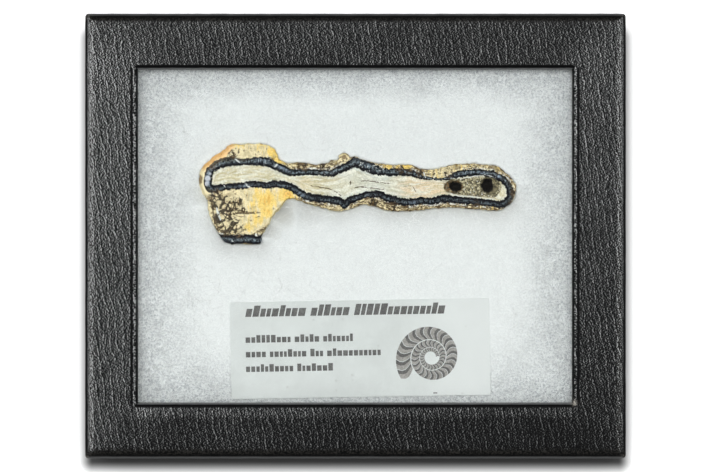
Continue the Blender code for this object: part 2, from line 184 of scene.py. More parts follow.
# Soft round patches, each as (x, y, reach, strength), by the name that the mesh gives them.
Patch = tuple[float, float, float, float]
PATCHES: dict[str, list[Patch]] = {
    "ochre": [
        (-22.0, 8.8, 2.4, 1.3), (-22.0, 6.0, 1.7, 1.2), (-24.8, 7.6, 2.6, 0.5), (-24.4, 4.0, 2.0, 0.7),
        (-26.6, 2.2, 1.6, 0.55), (-19.6, 9.8, 2.4, 0.6), (-24.0, 10.2, 2.4, 0.7),
        (-33.6, 20.6, 2.6, 0.95), (-31.2, 22.4, 1.6, 1.15), (-36.9, 17.2, 2.0, 0.7),
        (-28.6, 23.2, 1.5, 0.8), (-20.2, 20.8, 1.8, 0.95), (-18.8, 18.8, 1.5, 0.95),
        (-23.2, 22.6, 2.0, 0.5), (-38.2, 13.4, 1.8, 0.4), (12.6, 17.2, 1.4, 0.8),
        (26.0, 17.4, 2.4, 0.35), (35.0, 16.6, 1.6, 0.3), (8.0, 16.9, 1.4, 0.6), (10.6, 16.4, 1.0, 0.7),
        (19.6, 16.0, 2.0, 0.3), (34.0, 7.6, 1.2, 0.35), (-36.2, 19.0, 2.4, 1.0),
        (-34.6, 20.8, 2.4, 1.1), (-38.3, 16.0, 2.0, 0.85), (-32.4, 22.6, 2.0, 1.1),
        (-39.0, 13.4, 1.6, 0.6), (-17.0, 10.2, 2.2, 1.2),
    ],
    "rot": [
        (-35.2, 9.2, 1.3, 0.85), (-34.8, 7.2, 1.2, 0.75), (-34.0, 4.2, 1.5, 0.95),
        (-33.4, 2.2, 1.2, 0.75), (-31.9, 7.2, 2.2, 0.75), (-29.4, 7.8, 2.0, 0.7),
        (-34.4, 10.6, 1.3, 0.7), (-32.0, 9.6, 1.6, 0.5), (-31.0, 5.2, 1.8, 0.8),
        (-30.4, 2.0, 2.2, 0.62), (-32.2, 0.8, 1.2, 0.6), (-27.6, 6.2, 1.3, 0.6), (-28.2, 1.8, 1.5, 0.5),
        (-28.6, 0.2, 1.2, 0.5), (-30.2, 20.2, 1.3, 0.6), (-35.2, 17.0, 0.9, 0.5),
        (11.0, 16.5, 1.2, 0.75), (16.2, 15.6, 1.3, 0.8), (13.2, 16.0, 1.0, 0.6), (4.6, 8.1, 1.3, 0.9),
        (9.4, 7.4, 1.6, 0.5), (22.8, 15.2, 1.6, 0.45), (-8.0, 17.2, 2.0, 0.35), (38.9, 14.0, 1.6, 0.5),
        (-12.6, 17.4, 2.0, 0.45), (34.8, 16.4, 1.4, 0.4), (30.0, 7.4, 2.4, 0.35),
        (-26.4, 21.6, 1.2, 0.35), (-24.2, 20.6, 1.0, 0.3), (39.4, 10.6, 1.6, 0.5),
        (38.4, 8.0, 1.4, 0.45), (36.6, 16.2, 1.4, 0.4), (-33.0, 9.4, 1.6, 0.7), (-29.6, 3.4, 1.6, 0.5),
        (-32.6, 5.8, 1.6, 0.85),
    ],
    "clean": [
        (*NODULE, 1.5, 1.6), (-36.6, 6.8, 1.4, 0.9), (-35.6, 3.0, 1.2, 0.9), (-37.2, 11.6, 1.2, 0.8),
        (20.0, 15.8, 2.4, 0.7), (23.0, 16.4, 2.2, 0.6), (-3.6, 6.6, 1.6, 0.8), (-6.4, 6.6, 1.4, 0.7),
        (4.0, 18.0, 1.4, 0.5), (-38.0, 14.6, 1.4, 0.8), (26.0, 17.4, 2.0, 0.5), (-16.8, 17.4, 1.2, 0.6),
        (-35.6, 17.6, 1.6, 0.8), (-32.8, 19.8, 1.6, 0.8), (32.0, 17.2, 2.0, 0.4),
        (-16.6, 10.2, 2.0, 1.0), (40.0, 12.6, 1.5, 0.7), (39.2, 15.0, 1.3, 0.6), (39.8, 9.4, 1.2, 0.6),
    ],
    "blush": [
        (15.6, 11.6, 5.0, 1.0), (19.8, 11.2, 3.0, 0.8), (-12.6, 13.2, 2.6, 0.3),
    ],
    "chalk": [
        (5.0, 13.6, 8.0, 0.85), (-1.6, 15.2, 3.2, 0.7), (10.0, 10.8, 3.6, 0.7), (-4.0, 10.2, 3.0, 0.6),
    ],
    "blue": [
        (-36.6, 14.2, 1.8, 1.1), (-18.0, 16.5, 1.8, 0.7), (-13.4, 10.4, 1.2, 0.6),
        (31.6, 15.9, 0.9, 0.8), (-27.8, 12.4, 0.9, 0.5), (-23.0, 17.9, 1.6, 0.35),
        (14.2, 8.2, 0.9, 0.5), (35.2, 14.6, 0.6, 1.0), (2.8, 17.4, 1.0, 0.3), (27.4, 15.8, 1.6, 0.3),
    ],
    "moss": [
        (-33.2, 18.3, 3.0, 1.0), (-29.0, 18.6, 2.4, 0.7), (38.2, 11.4, 3.2, 0.35),
        (-35.6, 11.4, 1.4, 0.7),
    ],
    "frost": [
        (1.6, 18.4, 1.4, 1.0), (3.8, 17.4, 1.5, 1.0), (6.0, 16.7, 1.4, 0.8), (-7.6, 16.4, 1.6, 0.5),
        (-34.6, 16.0, 1.6, 0.4), (-22.6, 18.9, 1.8, 0.4),
    ],
    "glint": [
        (-36.5, 14.2, 0.75, 1.5), (-36.8, 12.9, 0.65, 1.3), (-35.9, 15.3, 0.5, 0.9),
    ],
    "stain": [
        (*NODULE, 0.62, 1.35), (-39.0, 14.0, 1.5, 1.3), (-31.9, 22.6, 0.45, 1.3),
        (-23.2, 22.8, 0.35, 1.4),
    ],
    "peach": [(-34.4, 20.2, 4.4, 1.7)],
}  # fmt: skip

# Where the natural outside slopes out from under the face: centre, reach and how far.
FLARES = [((-34.0, 20.0), 5.0, 2.5), ((-38.0, 13.5), 4.0, 1.5)]
# Where the fibre lies deeper beside the tooth, and is darkened by painted shade.
HOLLOWS: list[Patch] = [(-17.8, 5.6, 2.8, 2.2), (-21.0, 1.4, 2.2, 1.2), (-12.4, 5.6, 3.4, 1.2)]
# Sockets in the pulp cavity: centre, half width, half height, depth, and how far the deep end
# lies to the right of the middle.
SOCKETS = [((24.0, 12.1), 2.2, 1.6, 4.6, 0.85), ((33.3, 12.35), 2.1, 2.3, 4.9, -0.75)]


# ---- Plane geometry ----


def smooth_curve(points: list[tuple], step: float, closed: bool = True) -> Array:
    """Samples a Catmull-Rom curve through points of any number of columns.

    Args:
        points: The points that the curve passes through.
        step: Distance between samples, along x and y.
        closed: Whether the last point joins the first.

    Returns:
        One row for each sample.
    """
    knots = np.array(points, float)
    count = len(knots)
    spans = count if closed else count - 1
    rows = []
    for i in range(spans):
        around = [(i + k) % count if closed else min(max(i + k, 0), count - 1) for k in (-1, 0, 1, 2)]
        before, start, end, after = knots[around]
        pieces = max(1, round(float(np.hypot(*(end - start)[:2])) / step))
        bend = 2.0 * before - 5.0 * start + 4.0 * end - after
        twist = 3.0 * start - before - 3.0 * end + after
        for t in np.arange(pieces) / pieces:
            rows.append(0.5 * (2.0 * start + (end - before) * t + bend * t**2 + twist * t**3))
    if not closed:
        rows.append(knots[-1])
    return np.array(rows)


def nearest_on(points: Array, line: Array, closed: bool) -> tuple[Array, ...]:
    """Finds the nearest place on a line for each of many points.

    Args:
        points: Rows of x and y.
        line: Rows of x and y, with any further columns.
        closed: Whether the line's last row joins its first.

    Returns:
        The distances, the places along the line in millimetres, and the line's further columns there.
    """
    starts = line if closed else line[:-1]
    ends = np.roll(line, -1, axis=0) if closed else line[1:]
    lengths = np.hypot(*(ends - starts)[:, :2].T)
    runs = np.concatenate([[0.0], np.cumsum(lengths)])[:-1]
    best = np.full(len(points), np.inf)
    run = np.zeros(len(points))
    extra = np.zeros((len(points), line.shape[1] - 2))
    for start, end, length, begin in zip(starts, ends, lengths, runs):
        along = end[:2] - start[:2]
        t = np.clip(((points - start[:2]) @ along) / max(length**2, 1e-12), 0.0, 1.0)
        away = np.hypot(*(points - start[:2] - t[:, None] * along).T)
        nearer = away < best
        best[nearer] = away[nearer]
        run[nearer] = begin + t[nearer] * length
        extra[nearer] = start[2:] + t[nearer, None] * (end[2:] - start[2:])
    return best, run, extra


def is_inside(points: Array, outline: Array) -> Array:
    """Tells which points lie inside a closed outline, by counting crossings."""
    x, y = points[:, 0], points[:, 1]
    within = np.zeros(len(points), bool)
    for (x0, y0), (x1, y1) in zip(outline[:, :2], np.roll(outline, -1, axis=0)[:, :2]):
        if y0 == y1:
            continue
        crosses = (y0 > y) != (y1 > y)
        within ^= crosses & (x < (x1 - x0) * (y - y0) / (y1 - y0) + x0)
    return within


def depth_inside(points: Array, outline: Array) -> Array:
    """Distance from an outline, positive for points inside it and negative outside."""
    away = nearest_on(points, outline[:, :2], True)[0]
    return np.where(is_inside(points, outline), away, -away)


def outward(line: Array) -> Array:
    """Unit normals that point away from a closed line that runs clockwise."""
    along = np.roll(line, -1, axis=0)[:, :2] - np.roll(line, 1, axis=0)[:, :2]
    normals = np.stack([-along[:, 1], along[:, 0]], axis=1)
    return normals / np.maximum(np.hypot(*normals.T), 1e-9)[:, None]


def fill_points(outline: Array, step: float, margin: float) -> Array:
    """Points of a triangular grid that lie inside an outline, clear of its edge by a margin."""
    low, high = outline[:, :2].min(0), outline[:, :2].max(0)
    rise = step * math.sqrt(3) / 2
    rows = []
    for i in range(int((high[1] - low[1]) / rise) + 1):
        xs = np.arange(low[0] + (i % 2) * step / 2, high[0], step)
        rows.append(np.stack([xs, np.full(len(xs), low[1] + i * rise)], axis=1))
    points = np.concatenate(rows)
    return points[depth_inside(points, outline) > margin]


def triangulate(points: Array, loops: list[int]) -> tuple[Array, Array]:
    """Triangulates points inside closed loops.

    Args:
        points: Rows of x and y: first the loops, one after another, then the points between.
        loops: How many points each loop has.

    Returns:
        The vertices, in the same order as long as none were merged, and the triangles' corners.
    """
    edges, first = [], 0
    for count in loops:
        edges += [(first + i, first + (i + 1) % count) for i in range(count)]
        first += count
    made = geometry.delaunay_2d_cdt([Vector(p) for p in points], edges, [], 1, 1e-5)
    return np.array([tuple(v) for v in made[0]]), np.array([tuple(f) for f in made[2]], int)


def noise_at(points: Array, size: float, seed: float = 0.0) -> Array:
    """Smooth noise from about -1 to 1 at rows of x, y and, if there is one, z.

    Args:
        points: The places, in millimetres.
        size: About how wide one lump of the noise is.
        seed: Moves the pattern along, so that two calls differ.

    Returns:
        One value for each place.
    """
    spots = np.zeros((len(points), 3))
    spots[:, : points.shape[1]] = points / size
    spots[:, 2] += seed * 17.3
    return np.array([noise.noise(spot) for spot in spots])


def ease(values: Array | float, low: float, high: float) -> Array:
    """Rises smoothly from 0 at low to 1 at high. It falls instead where low is above high."""
    t = np.clip((np.asarray(values) - low) / (high - low), 0.0, 1.0)
    return t * t * (3.0 - 2.0 * t)


def bell(away: Array, reach: float) -> Array:
    """1 where the distance is 0, falling away smoothly over the reach on both sides."""
    return np.exp(-((away / reach) ** 2))


def patch_field(points: Array, patches: list[Patch]) -> Array:
    """The strongest of several soft round patches at each point."""
    strongest = np.zeros(len(points))
    for x, y, reach, strength in patches:
        apart = ((points[:, 0] - x) ** 2 + (points[:, 1] - y) ** 2) / reach**2
        strongest = np.maximum(strongest, strength * np.exp(-apart))
    return strongest


def flare_field(points: Array, strength: float, widen: float = 1.0) -> Array:
    """How near each point is to where the natural outside flares."""
    return patch_field(points, [(x, y, reach * widen, strength) for (x, y), reach, _ in FLARES])


# ---- Meshes ----


def put_in_scene(name: str, data: bpy.types.ID) -> Object:
    """Makes an object of a mesh, a lamp or a camera, and links it to the scene."""
    made = bpy.data.objects.new(name, data)
    bpy.context.scene.collection.objects.link(made)
    return made


def mark_corners(mesh: bpy.types.Mesh, values: dict[str, Array]) -> None:
    """Gives a mesh named numbers for each corner, which the materials read."""
    for key, numbers in values.items():
        layer = mesh.attributes.new(key, "FLOAT", "POINT")
        layer.data.foreach_set("value", np.asarray(numbers, np.float32))


def new_piece(
    name: str,
    corners: Array,
    faces: list | Array,
    materials: list[Material],
    values: dict[str, Array] | None = None,
    slots: Array | None = None,
) -> Object:
    """Makes a piece from corners in millimetres.

    Args:
        name: The piece's name.
        corners: Rows of x, y and z.
        faces: The corners of each face, counter-clockwise seen from outside.
        materials: The piece's materials.
        values: Named numbers for each corner, which the materials read.
        slots: Which material each face takes.

    Returns:
        The piece's object, at the origin.
    """
    mesh = bpy.data.meshes.new(name)
    mesh.from_pydata(np.asarray(corners) * MM, [], [tuple(map(int, face)) for face in faces])
    mark_corners(mesh, values or {})
    for material in materials:
        mesh.materials.append(material)
    if slots is not None:
        mesh.polygons.foreach_set("material_index", np.asarray(slots, np.int32))
    mesh.shade_smooth()
    return put_in_scene(name, mesh)


def tidy_mesh(piece: Object, sharp_deg: float | None = None) -> None:
    """Merges corners that coincide, turns every face outwards and marks sharp edges.

    Args:
        piece: The object to tidy.
        sharp_deg: Edges that turn by more than this stay sharp, or none do.
    """
    bm = bmesh.new()
    bm.from_mesh(piece.data)
    bmesh.ops.remove_doubles(bm, verts=bm.verts, dist=1e-4 * MM)
    bmesh.ops.dissolve_degenerate(bm, edges=bm.edges, dist=1e-5 * MM)
    bmesh.ops.recalc_face_normals(bm, faces=bm.faces)
    bm.to_mesh(piece.data)
    bm.free()
    if sharp_deg is not None:
        piece.data.set_sharp_from_angle(angle=math.radians(sharp_deg))


def finish_piece(piece: Object, node: str | None = None) -> None:
    """Puts a piece on the case's body and reports it.

    Args:
        piece: The finished object.
        node: The solid that the piece stands for, if any.
    """
    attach(piece, BODY)
    if node is not None:
        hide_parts(node)
    piece.data.calc_loop_triangles()
    LOG.info("%s: %d triangles", piece.name, len(piece.data.loop_triangles))


@dataclass
class Shell:
    """A closed shell under construction: its corners, its triangles and its corners' numbers."""

    corners: list[Array]
    faces: list[Array]
    values: list[dict[str, Array]]

    def add(self, flat: Array, z: float, values: dict[str, Array]) -> Array:
        """Adds corners at a height, and tells their places in the list of all corners."""
        first = sum(map(len, self.corners))
        self.corners.append(np.column_stack([flat, np.full(len(flat), z)]))
        self.values.append(values)
        return first + np.arange(len(flat))

    def ring(self, below: Array, flat: Array, z: float, values: dict) -> Array:
        """Adds a ring of corners and joins it to the last one, whose places are given."""
        here = self.add(flat, z, values)
        ahead = np.roll(here, -1)
        self.faces.append(np.column_stack([below, np.roll(below, -1), ahead]))
        self.faces.append(np.column_stack([below, ahead, here]))
        return here

    def cap(self, loop: Array, step: float, values_at: Callable) -> None:
        """Closes the shell across its last ring, with corners a step apart."""
        ring = np.concatenate(self.corners)[loop]
        fill = fill_points(ring, step, step * 0.6)
        flat, faces = triangulate(np.concatenate([ring[:, :2], fill]), [len(ring)])
        extra = flat[len(ring) :]
        places = np.concatenate([loop, self.add(extra, ring[0, 2], values_at(extra))])
        self.faces.append(places[faces])

    def piece(self, name: str, material: Material) -> Object:
        """Makes the shell a piece, with its faces turned outwards."""
        values = {key: np.concatenate([part[key] for part in self.values]) for key in self.values[0]}
        corners, faces = np.concatenate(self.corners), np.concatenate(self.faces)
        made = new_piece(name, corners, faces, [material], values)
        tidy_mesh(made)
        return made


@dataclass(frozen=True)
class Ring:
    """One rounded rectangle of a swept shell, in millimetres."""

    half_x: float
    half_y: float
    z: float
    radius: float = 0.0
    centre: Pair = (0.0, 0.0)

    def corners(self, cells_x: int, cells_y: int, turn_cells: int) -> Array:
        """Points round the rectangle, counter-clockwise from the end of its right side.

        Args:
            cells_x: Cells along each side that runs along X.
            cells_y: Cells along each side that runs along Y.
            turn_cells: Cells round each corner.

        Returns:
            Rows of x, y and z.
        """
        radius = max(self.radius, 0.0)
        heart = np.array([self.half_x - radius, self.half_y - radius])
        signs = np.array([(1, 1), (-1, 1), (-1, -1), (1, -1)])
        rows = []
        for quarter in range(4):
            turns = (quarter + np.arange(turn_cells + 1) / turn_cells) * math.pi / 2
            spokes = radius * np.column_stack([np.cos(turns), np.sin(turns)])
            arc = signs[quarter] * heart + spokes
            target = signs[(quarter + 1) % 4] * heart + spokes[-1]
            cells = (cells_x, cells_y)[quarter % 2]
            shares = np.arange(1, cells)[:, None] / cells
            rows += [arc, arc[-1] + (target - arc[-1]) * shares]
        flat = np.concatenate(rows) + np.array(self.centre)
        return np.column_stack([flat, np.full(len(flat), self.z)])


def sweep(rings: list[Ring], cells: tuple[int, int, int], closed: bool) -> tuple[Array, list]:
    """Joins rings into a shell.

    Args:
        rings: The rings, in order along the shell's section.
        cells: Cells along X, along Y and round each corner.
        closed: Whether the last ring joins the first. If not, both ends are capped.

    Returns:
        The corners in millimetres, and the faces.
    """
    levels = [ring.corners(*cells) for ring in rings]
    around = len(levels[0])
    faces: list = []
    for level in range(len(levels) if closed else len(levels) - 1):
        here, above = level * around, ((level + 1) % len(levels)) * around
        for i in range(around):
            j = (i + 1) % around
            faces.append((here + i, here + j, above + j, above + i))
    if not closed:
        faces.append(range(around))
        faces.append(range((len(levels) - 1) * around, len(levels) * around))
    return np.concatenate(levels), faces


# ---- Node trees ----

# The middle of a noise's three numbers.
MIDDLE = (0.5, 0.5, 0.5)


def times(colour: Colour, share: float) -> Colour:
    """A colour made darker or lighter."""
    return tuple(part * share for part in colour)


def operator_of(operation: str, swapped: bool = False) -> Callable:
    """Makes an operator of Value.

    Args:
        operation: What its Math node works out.
        swapped: Whether a plain number stands before the value.

    Returns:
        The operator's method.
    """

    def method(value: "Value", *others: "Feed") -> "Value":
        """Adds the node and returns its output."""
        feeds = (*others, value) if swapped else (value, *others)
        return value.graph.math(operation, *feeds)

    return method


class Value:
    """An output of a node. Arithmetic on values adds Math nodes to their tree."""

    def __init__(self, graph: "Graph", socket: bpy.types.NodeSocket) -> None:
        """Keeps the output and the graph that it lies in."""
        self.graph, self.socket = graph, socket

    __add__, __sub__, __mul__, __truediv__ = map(operator_of, ("ADD", "SUBTRACT", "MULTIPLY", "DIVIDE"))
    __rsub__, __rtruediv__ = operator_of("SUBTRACT", True), operator_of("DIVIDE", True)
    __abs__ = operator_of("ABSOLUTE")


# What an input may be given: a node's output, or a plain value.
Feed = Value | float | str | tuple | Material | None


class Step:
    """A node in a graph, whose outputs are read by name or by number."""

    def __init__(self, graph: "Graph", node: bpy.types.Node) -> None:
        """Keeps the node and its graph."""
        self.graph, self.node = graph, node

    def __getitem__(self, key: int | str) -> Value:
        """One output."""
        return Value(self.graph, self.node.outputs[key])

    def take(self, *values: Feed, **named: Feed) -> "Step":
        """Feeds inputs in order or by name. Underscores in names stand for spaces."""
        for target, value in zip(self.node.inputs, values):
            self.graph.feed(target, value)
        for name, value in named.items():
            self.graph.feed(self.node.inputs[name.replace("_", " ")], value)
        return self


class Graph:
    """A node tree under construction. Most methods add one node and return its output."""

    def __init__(self, tree: bpy.types.NodeTree) -> None:
        """Starts on a tree and keeps the nodes that it already has."""
        self.tree = tree

    def add(self, kind: str, **settings: object) -> Step:
        """Adds a node of a kind, with properties such as its operation."""
        node = self.tree.nodes.new(kind)
        for name, value in settings.items():
            setattr(node, name, value)
        return Step(self, node)

    def feed(self, target: bpy.types.NodeSocket, value: Feed) -> None:
        """Links a value to an input, or writes a plain one there. None leaves it alone."""
        if isinstance(value, Value):
            self.tree.links.new(value.socket, target)
        elif value is not None:
            short = target.type == "RGBA" and len(value) == 3
            target.default_value = (*value, 1.0) if short else value

    def math(self, operation: str, *values: Feed) -> Value:
        """A Math node."""
        return self.add("ShaderNodeMath", operation=operation).take(*values)[0]

    def span(self, value: Feed, low: float, high: float, to: tuple = (0.0, 1.0)) -> Value:
        """Rises smoothly over a range of the value, and falls where low is above high."""
        made = self.add("ShaderNodeMapRange", interpolation_type="SMOOTHSTEP")
        return made.take(value, low, high, *to)[0]

    def mix(self, factor: Feed, low: Feed, high: Feed, blend: str = "MIX") -> Value:
        """Mixes two colours."""
        made = self.add("ShaderNodeMix", data_type="RGBA", blend_type=blend)
        for index, value in ((0, factor), (6, low), (7, high)):
            self.feed(made.node.inputs[index], value)
        return made[2]

    def vector(self, operation: str, first: Feed, second: Feed = None) -> Value:
        """A Vector Math node."""
        return self.add("ShaderNodeVectorMath", operation=operation).take(first, second)[0]

    def scale(self, place: Value, share: Feed) -> Value:
        """Scales a vector evenly."""
        return self.add("ShaderNodeVectorMath", operation="SCALE").take(place, Scale=share)[0]

    def join(self, x: Feed, y: Feed, z: Feed = 0.0) -> Value:
        """Joins three numbers into a vector."""
        return self.add("ShaderNodeCombineXYZ").take(x, y, z)[0]

    def split(self, place: Value) -> tuple[Value, Value, Value]:
        """Takes a vector apart."""
        parts = self.add("ShaderNodeSeparateXYZ").take(place)
        return parts[0], parts[1], parts[2]

    def tones(self, colour: Value) -> tuple[Value, Value, Value]:
        """Takes a colour apart."""
        parts = self.add("ShaderNodeSeparateColor").take(colour)
        return parts[0], parts[1], parts[2]

    def noise(self, place: Feed, size: Feed, detail: float = 2.0, rough: float = 0.5) -> Value:
        """Noise whose lumps are about the given size wide, from 0 to 1."""
        return self.noise_node(place, size, detail, rough)[0]

    def cloud(self, size: float, detail: float = 2.0, rough: float = 0.6) -> Value:
        """Noise over the object's own shape."""
        return self.noise(self.here, size, detail, rough)

    def noise_node(self, place: Feed, size: Feed, detail: float, rough: float) -> Step:
        """The node behind noise, for its colour output."""
        made = self.add("ShaderNodeTexNoise")
        return made.take(Vector=place, Scale=1.0 / size, Detail=detail, Roughness=rough)

    def cells(self, place: Feed, size: Feed, feature: str = "F1") -> Step:
        """A Voronoi node, with cells about the given size wide."""
        return self.add("ShaderNodeTexVoronoi", feature=feature).take(Vector=place, Scale=1.0 / size)

    def warp(self, place: Value, size: float, reach: float) -> Value:
        """Pushes places about by smooth noise."""
        push = self.vector("SUBTRACT", self.noise_node(place, size, 1.0, 0.5)[1], MIDDLE)
        return self.vector("ADD", place, self.scale(push, reach))

    def stretch(self, place: Value, shares: Triple) -> Value:
        """Scales a vector along each axis."""
        return self.vector("MULTIPLY", place, shares)

    def mark(self, name: str) -> Value:
        """A named number of the mesh."""
        return self.add("ShaderNodeAttribute", attribute_name=name)["Fac"]

    @cached_property
    def here(self) -> Value:
        """Object coordinates in millimetres."""
        return self.scale(self.add("ShaderNodeTexCoord")["Object"], 1.0 / MM)

    def use(self, effect: "Effect", place: Value, **values: Feed) -> Step:
        """Puts one of the shared node groups to work at a place."""
        group = bpy.data.node_groups[effect.value]
        return self.add("ShaderNodeGroup", node_tree=group).take(place, **values)

    def bump(self, height: Value, depth_mm: float, strength: float = 1.0) -> Value:
        """A Bump node, for heights from 0 to 1 that stand for a depth."""
        return self.add("ShaderNodeBump").take(Strength=strength, Distance=depth_mm * MM, Height=height)[0]


class Effect(Enum):
    """The shader node groups that several materials share."""

    GRAIN = "leather grain"
    MOTTLE = "fine mottle"
    SPECKLE = "speckle"


def new_group(effect: Effect, outputs: tuple[str, ...], **numbers: float) -> tuple[Graph, Step, Step]:
    """Starts a shader node group.

    Args:
        effect: Which one.
        outputs: The names of its outputs.
        numbers: Its inputs after the place, with their defaults. Underscores stand for spaces.

    Returns:
        A graph on the group, the node that gives its inputs and the node that takes its outputs.
    """
    tree = bpy.data.node_groups.new(effect.value, "ShaderNodeTree")
    tree.interface.new_socket("Place", in_out="INPUT", socket_type="NodeSocketVector")
    for name, default in numbers.items():
        name = name.replace("_", " ")
        made = tree.interface.new_socket(name, in_out="INPUT", socket_type="NodeSocketFloat")
        made.default_value = default
    for name in outputs:
        tree.interface.new_socket(name, in_out="OUTPUT", socket_type="NodeSocketFloat")
    g = Graph(tree)
    return g, g.add("NodeGroupInput"), g.add("NodeGroupOutput")


def leather_grain() -> None:
    """Makes the group of leather's fine pebbles and wavy broken wrinkles, both running near Y.

    Facing is above 0 where the relief looks to -X, and below 0 where it looks to +X.
    """
    outputs = ("Height", "Facing", "Tone")
    g, given, leave = new_group(Effect.GRAIN, outputs, Wrinkle_Share=0.5, Pebble_Share=1.3)
    gap, width, lean, step = 1.8, 0.3, 0.16, 0.11

    def leaning(place: Value) -> tuple[Value, Value, Value]:
        """A place sheared so that lines of equal X lean."""
        x, y, z = g.split(place)
        return y * lean + x, y, z

    line_x = leaning(g.warp(g.warp(given["Place"], 5.0, 2.2), 1.2, 0.5))[0]
    x, y, z = leaning(g.warp(given["Place"], 1.2, 0.25))
    beads = g.noise(g.stretch(given["Place"], (1.0, 0.9, 1.0)), 0.42, 1.0)
    beads = g.span(beads, 0.45, 0.56, (0.1, 1.0))

    def relief(shift: float) -> Value:
        """The height a little to the side of a place."""
        line = g.math("PINGPONG", line_x + (shift + 100.0), gap / 2)
        ridge = g.span(line, width, 0.0) * beads
        pebble = g.noise(g.join(x + shift, y * 1.2, z), 0.36, 1.0)
        return pebble * given["Pebble Share"] + ridge * given["Wrinkle Share"]

    ahead, behind = relief(step), relief(-step)
    tone = g.noise(given["Place"], 9.0)
    leave.take(Height=(ahead + behind) * 0.5, Facing=ahead - behind, Tone=tone)


def fine_mottle() -> None:
    """Makes the group of soft cloudy variation at two scales, centred on 0.5."""
    sizes = {"Cloud_Size": 6.0, "Grain_Size": 0.6, "Grain_Share": 0.5}
    g, given, leave = new_group(Effect.MOTTLE, ("Mottle",), **sizes)
    cloud = g.noise(given["Place"], given["Cloud Size"], 3.0, 0.6)
    grain = g.noise(given["Place"], given["Grain Size"], 2.0, 0.6)
    both = g.add("ShaderNodeMix", data_type="FLOAT").take(given["Grain Share"], None, cloud, grain)
    leave.take(Mottle=both[0])


def speckle() -> None:
    """Makes the group of scattered specks, a share of a mosaic's cells, each with its own tone."""
    g, given, leave = new_group(Effect.SPECKLE, ("Speck", "Tone"), Cell_Size=0.4, Share=0.1)
    mosaic = g.cells(given["Place"], given["Cell Size"])
    chance, tone, _ = g.tones(mosaic["Color"])
    chosen = g.math("LESS_THAN", chance, given["Share"])
    leave.take(Speck=chosen * g.span(mosaic["Distance"], 0.55, 0.3), Tone=tone)


class Finish:
    """What every finish has: a way to make its material."""

    def build(self, name: str) -> Material:
        """Makes a material of a name and paints it."""
        material = bpy.data.materials.new(name)
        material.use_nodes = True
        g = Graph(material.node_tree)
        self.paint(g, Step(g, g.tree.nodes["Principled BSDF"]))
        return material

    def paint(self, g: Graph, shader: Step) -> None:
        """Lays out the material's nodes. Each finish has its own way."""
        raise NotImplementedError


# ---- Finishes ----


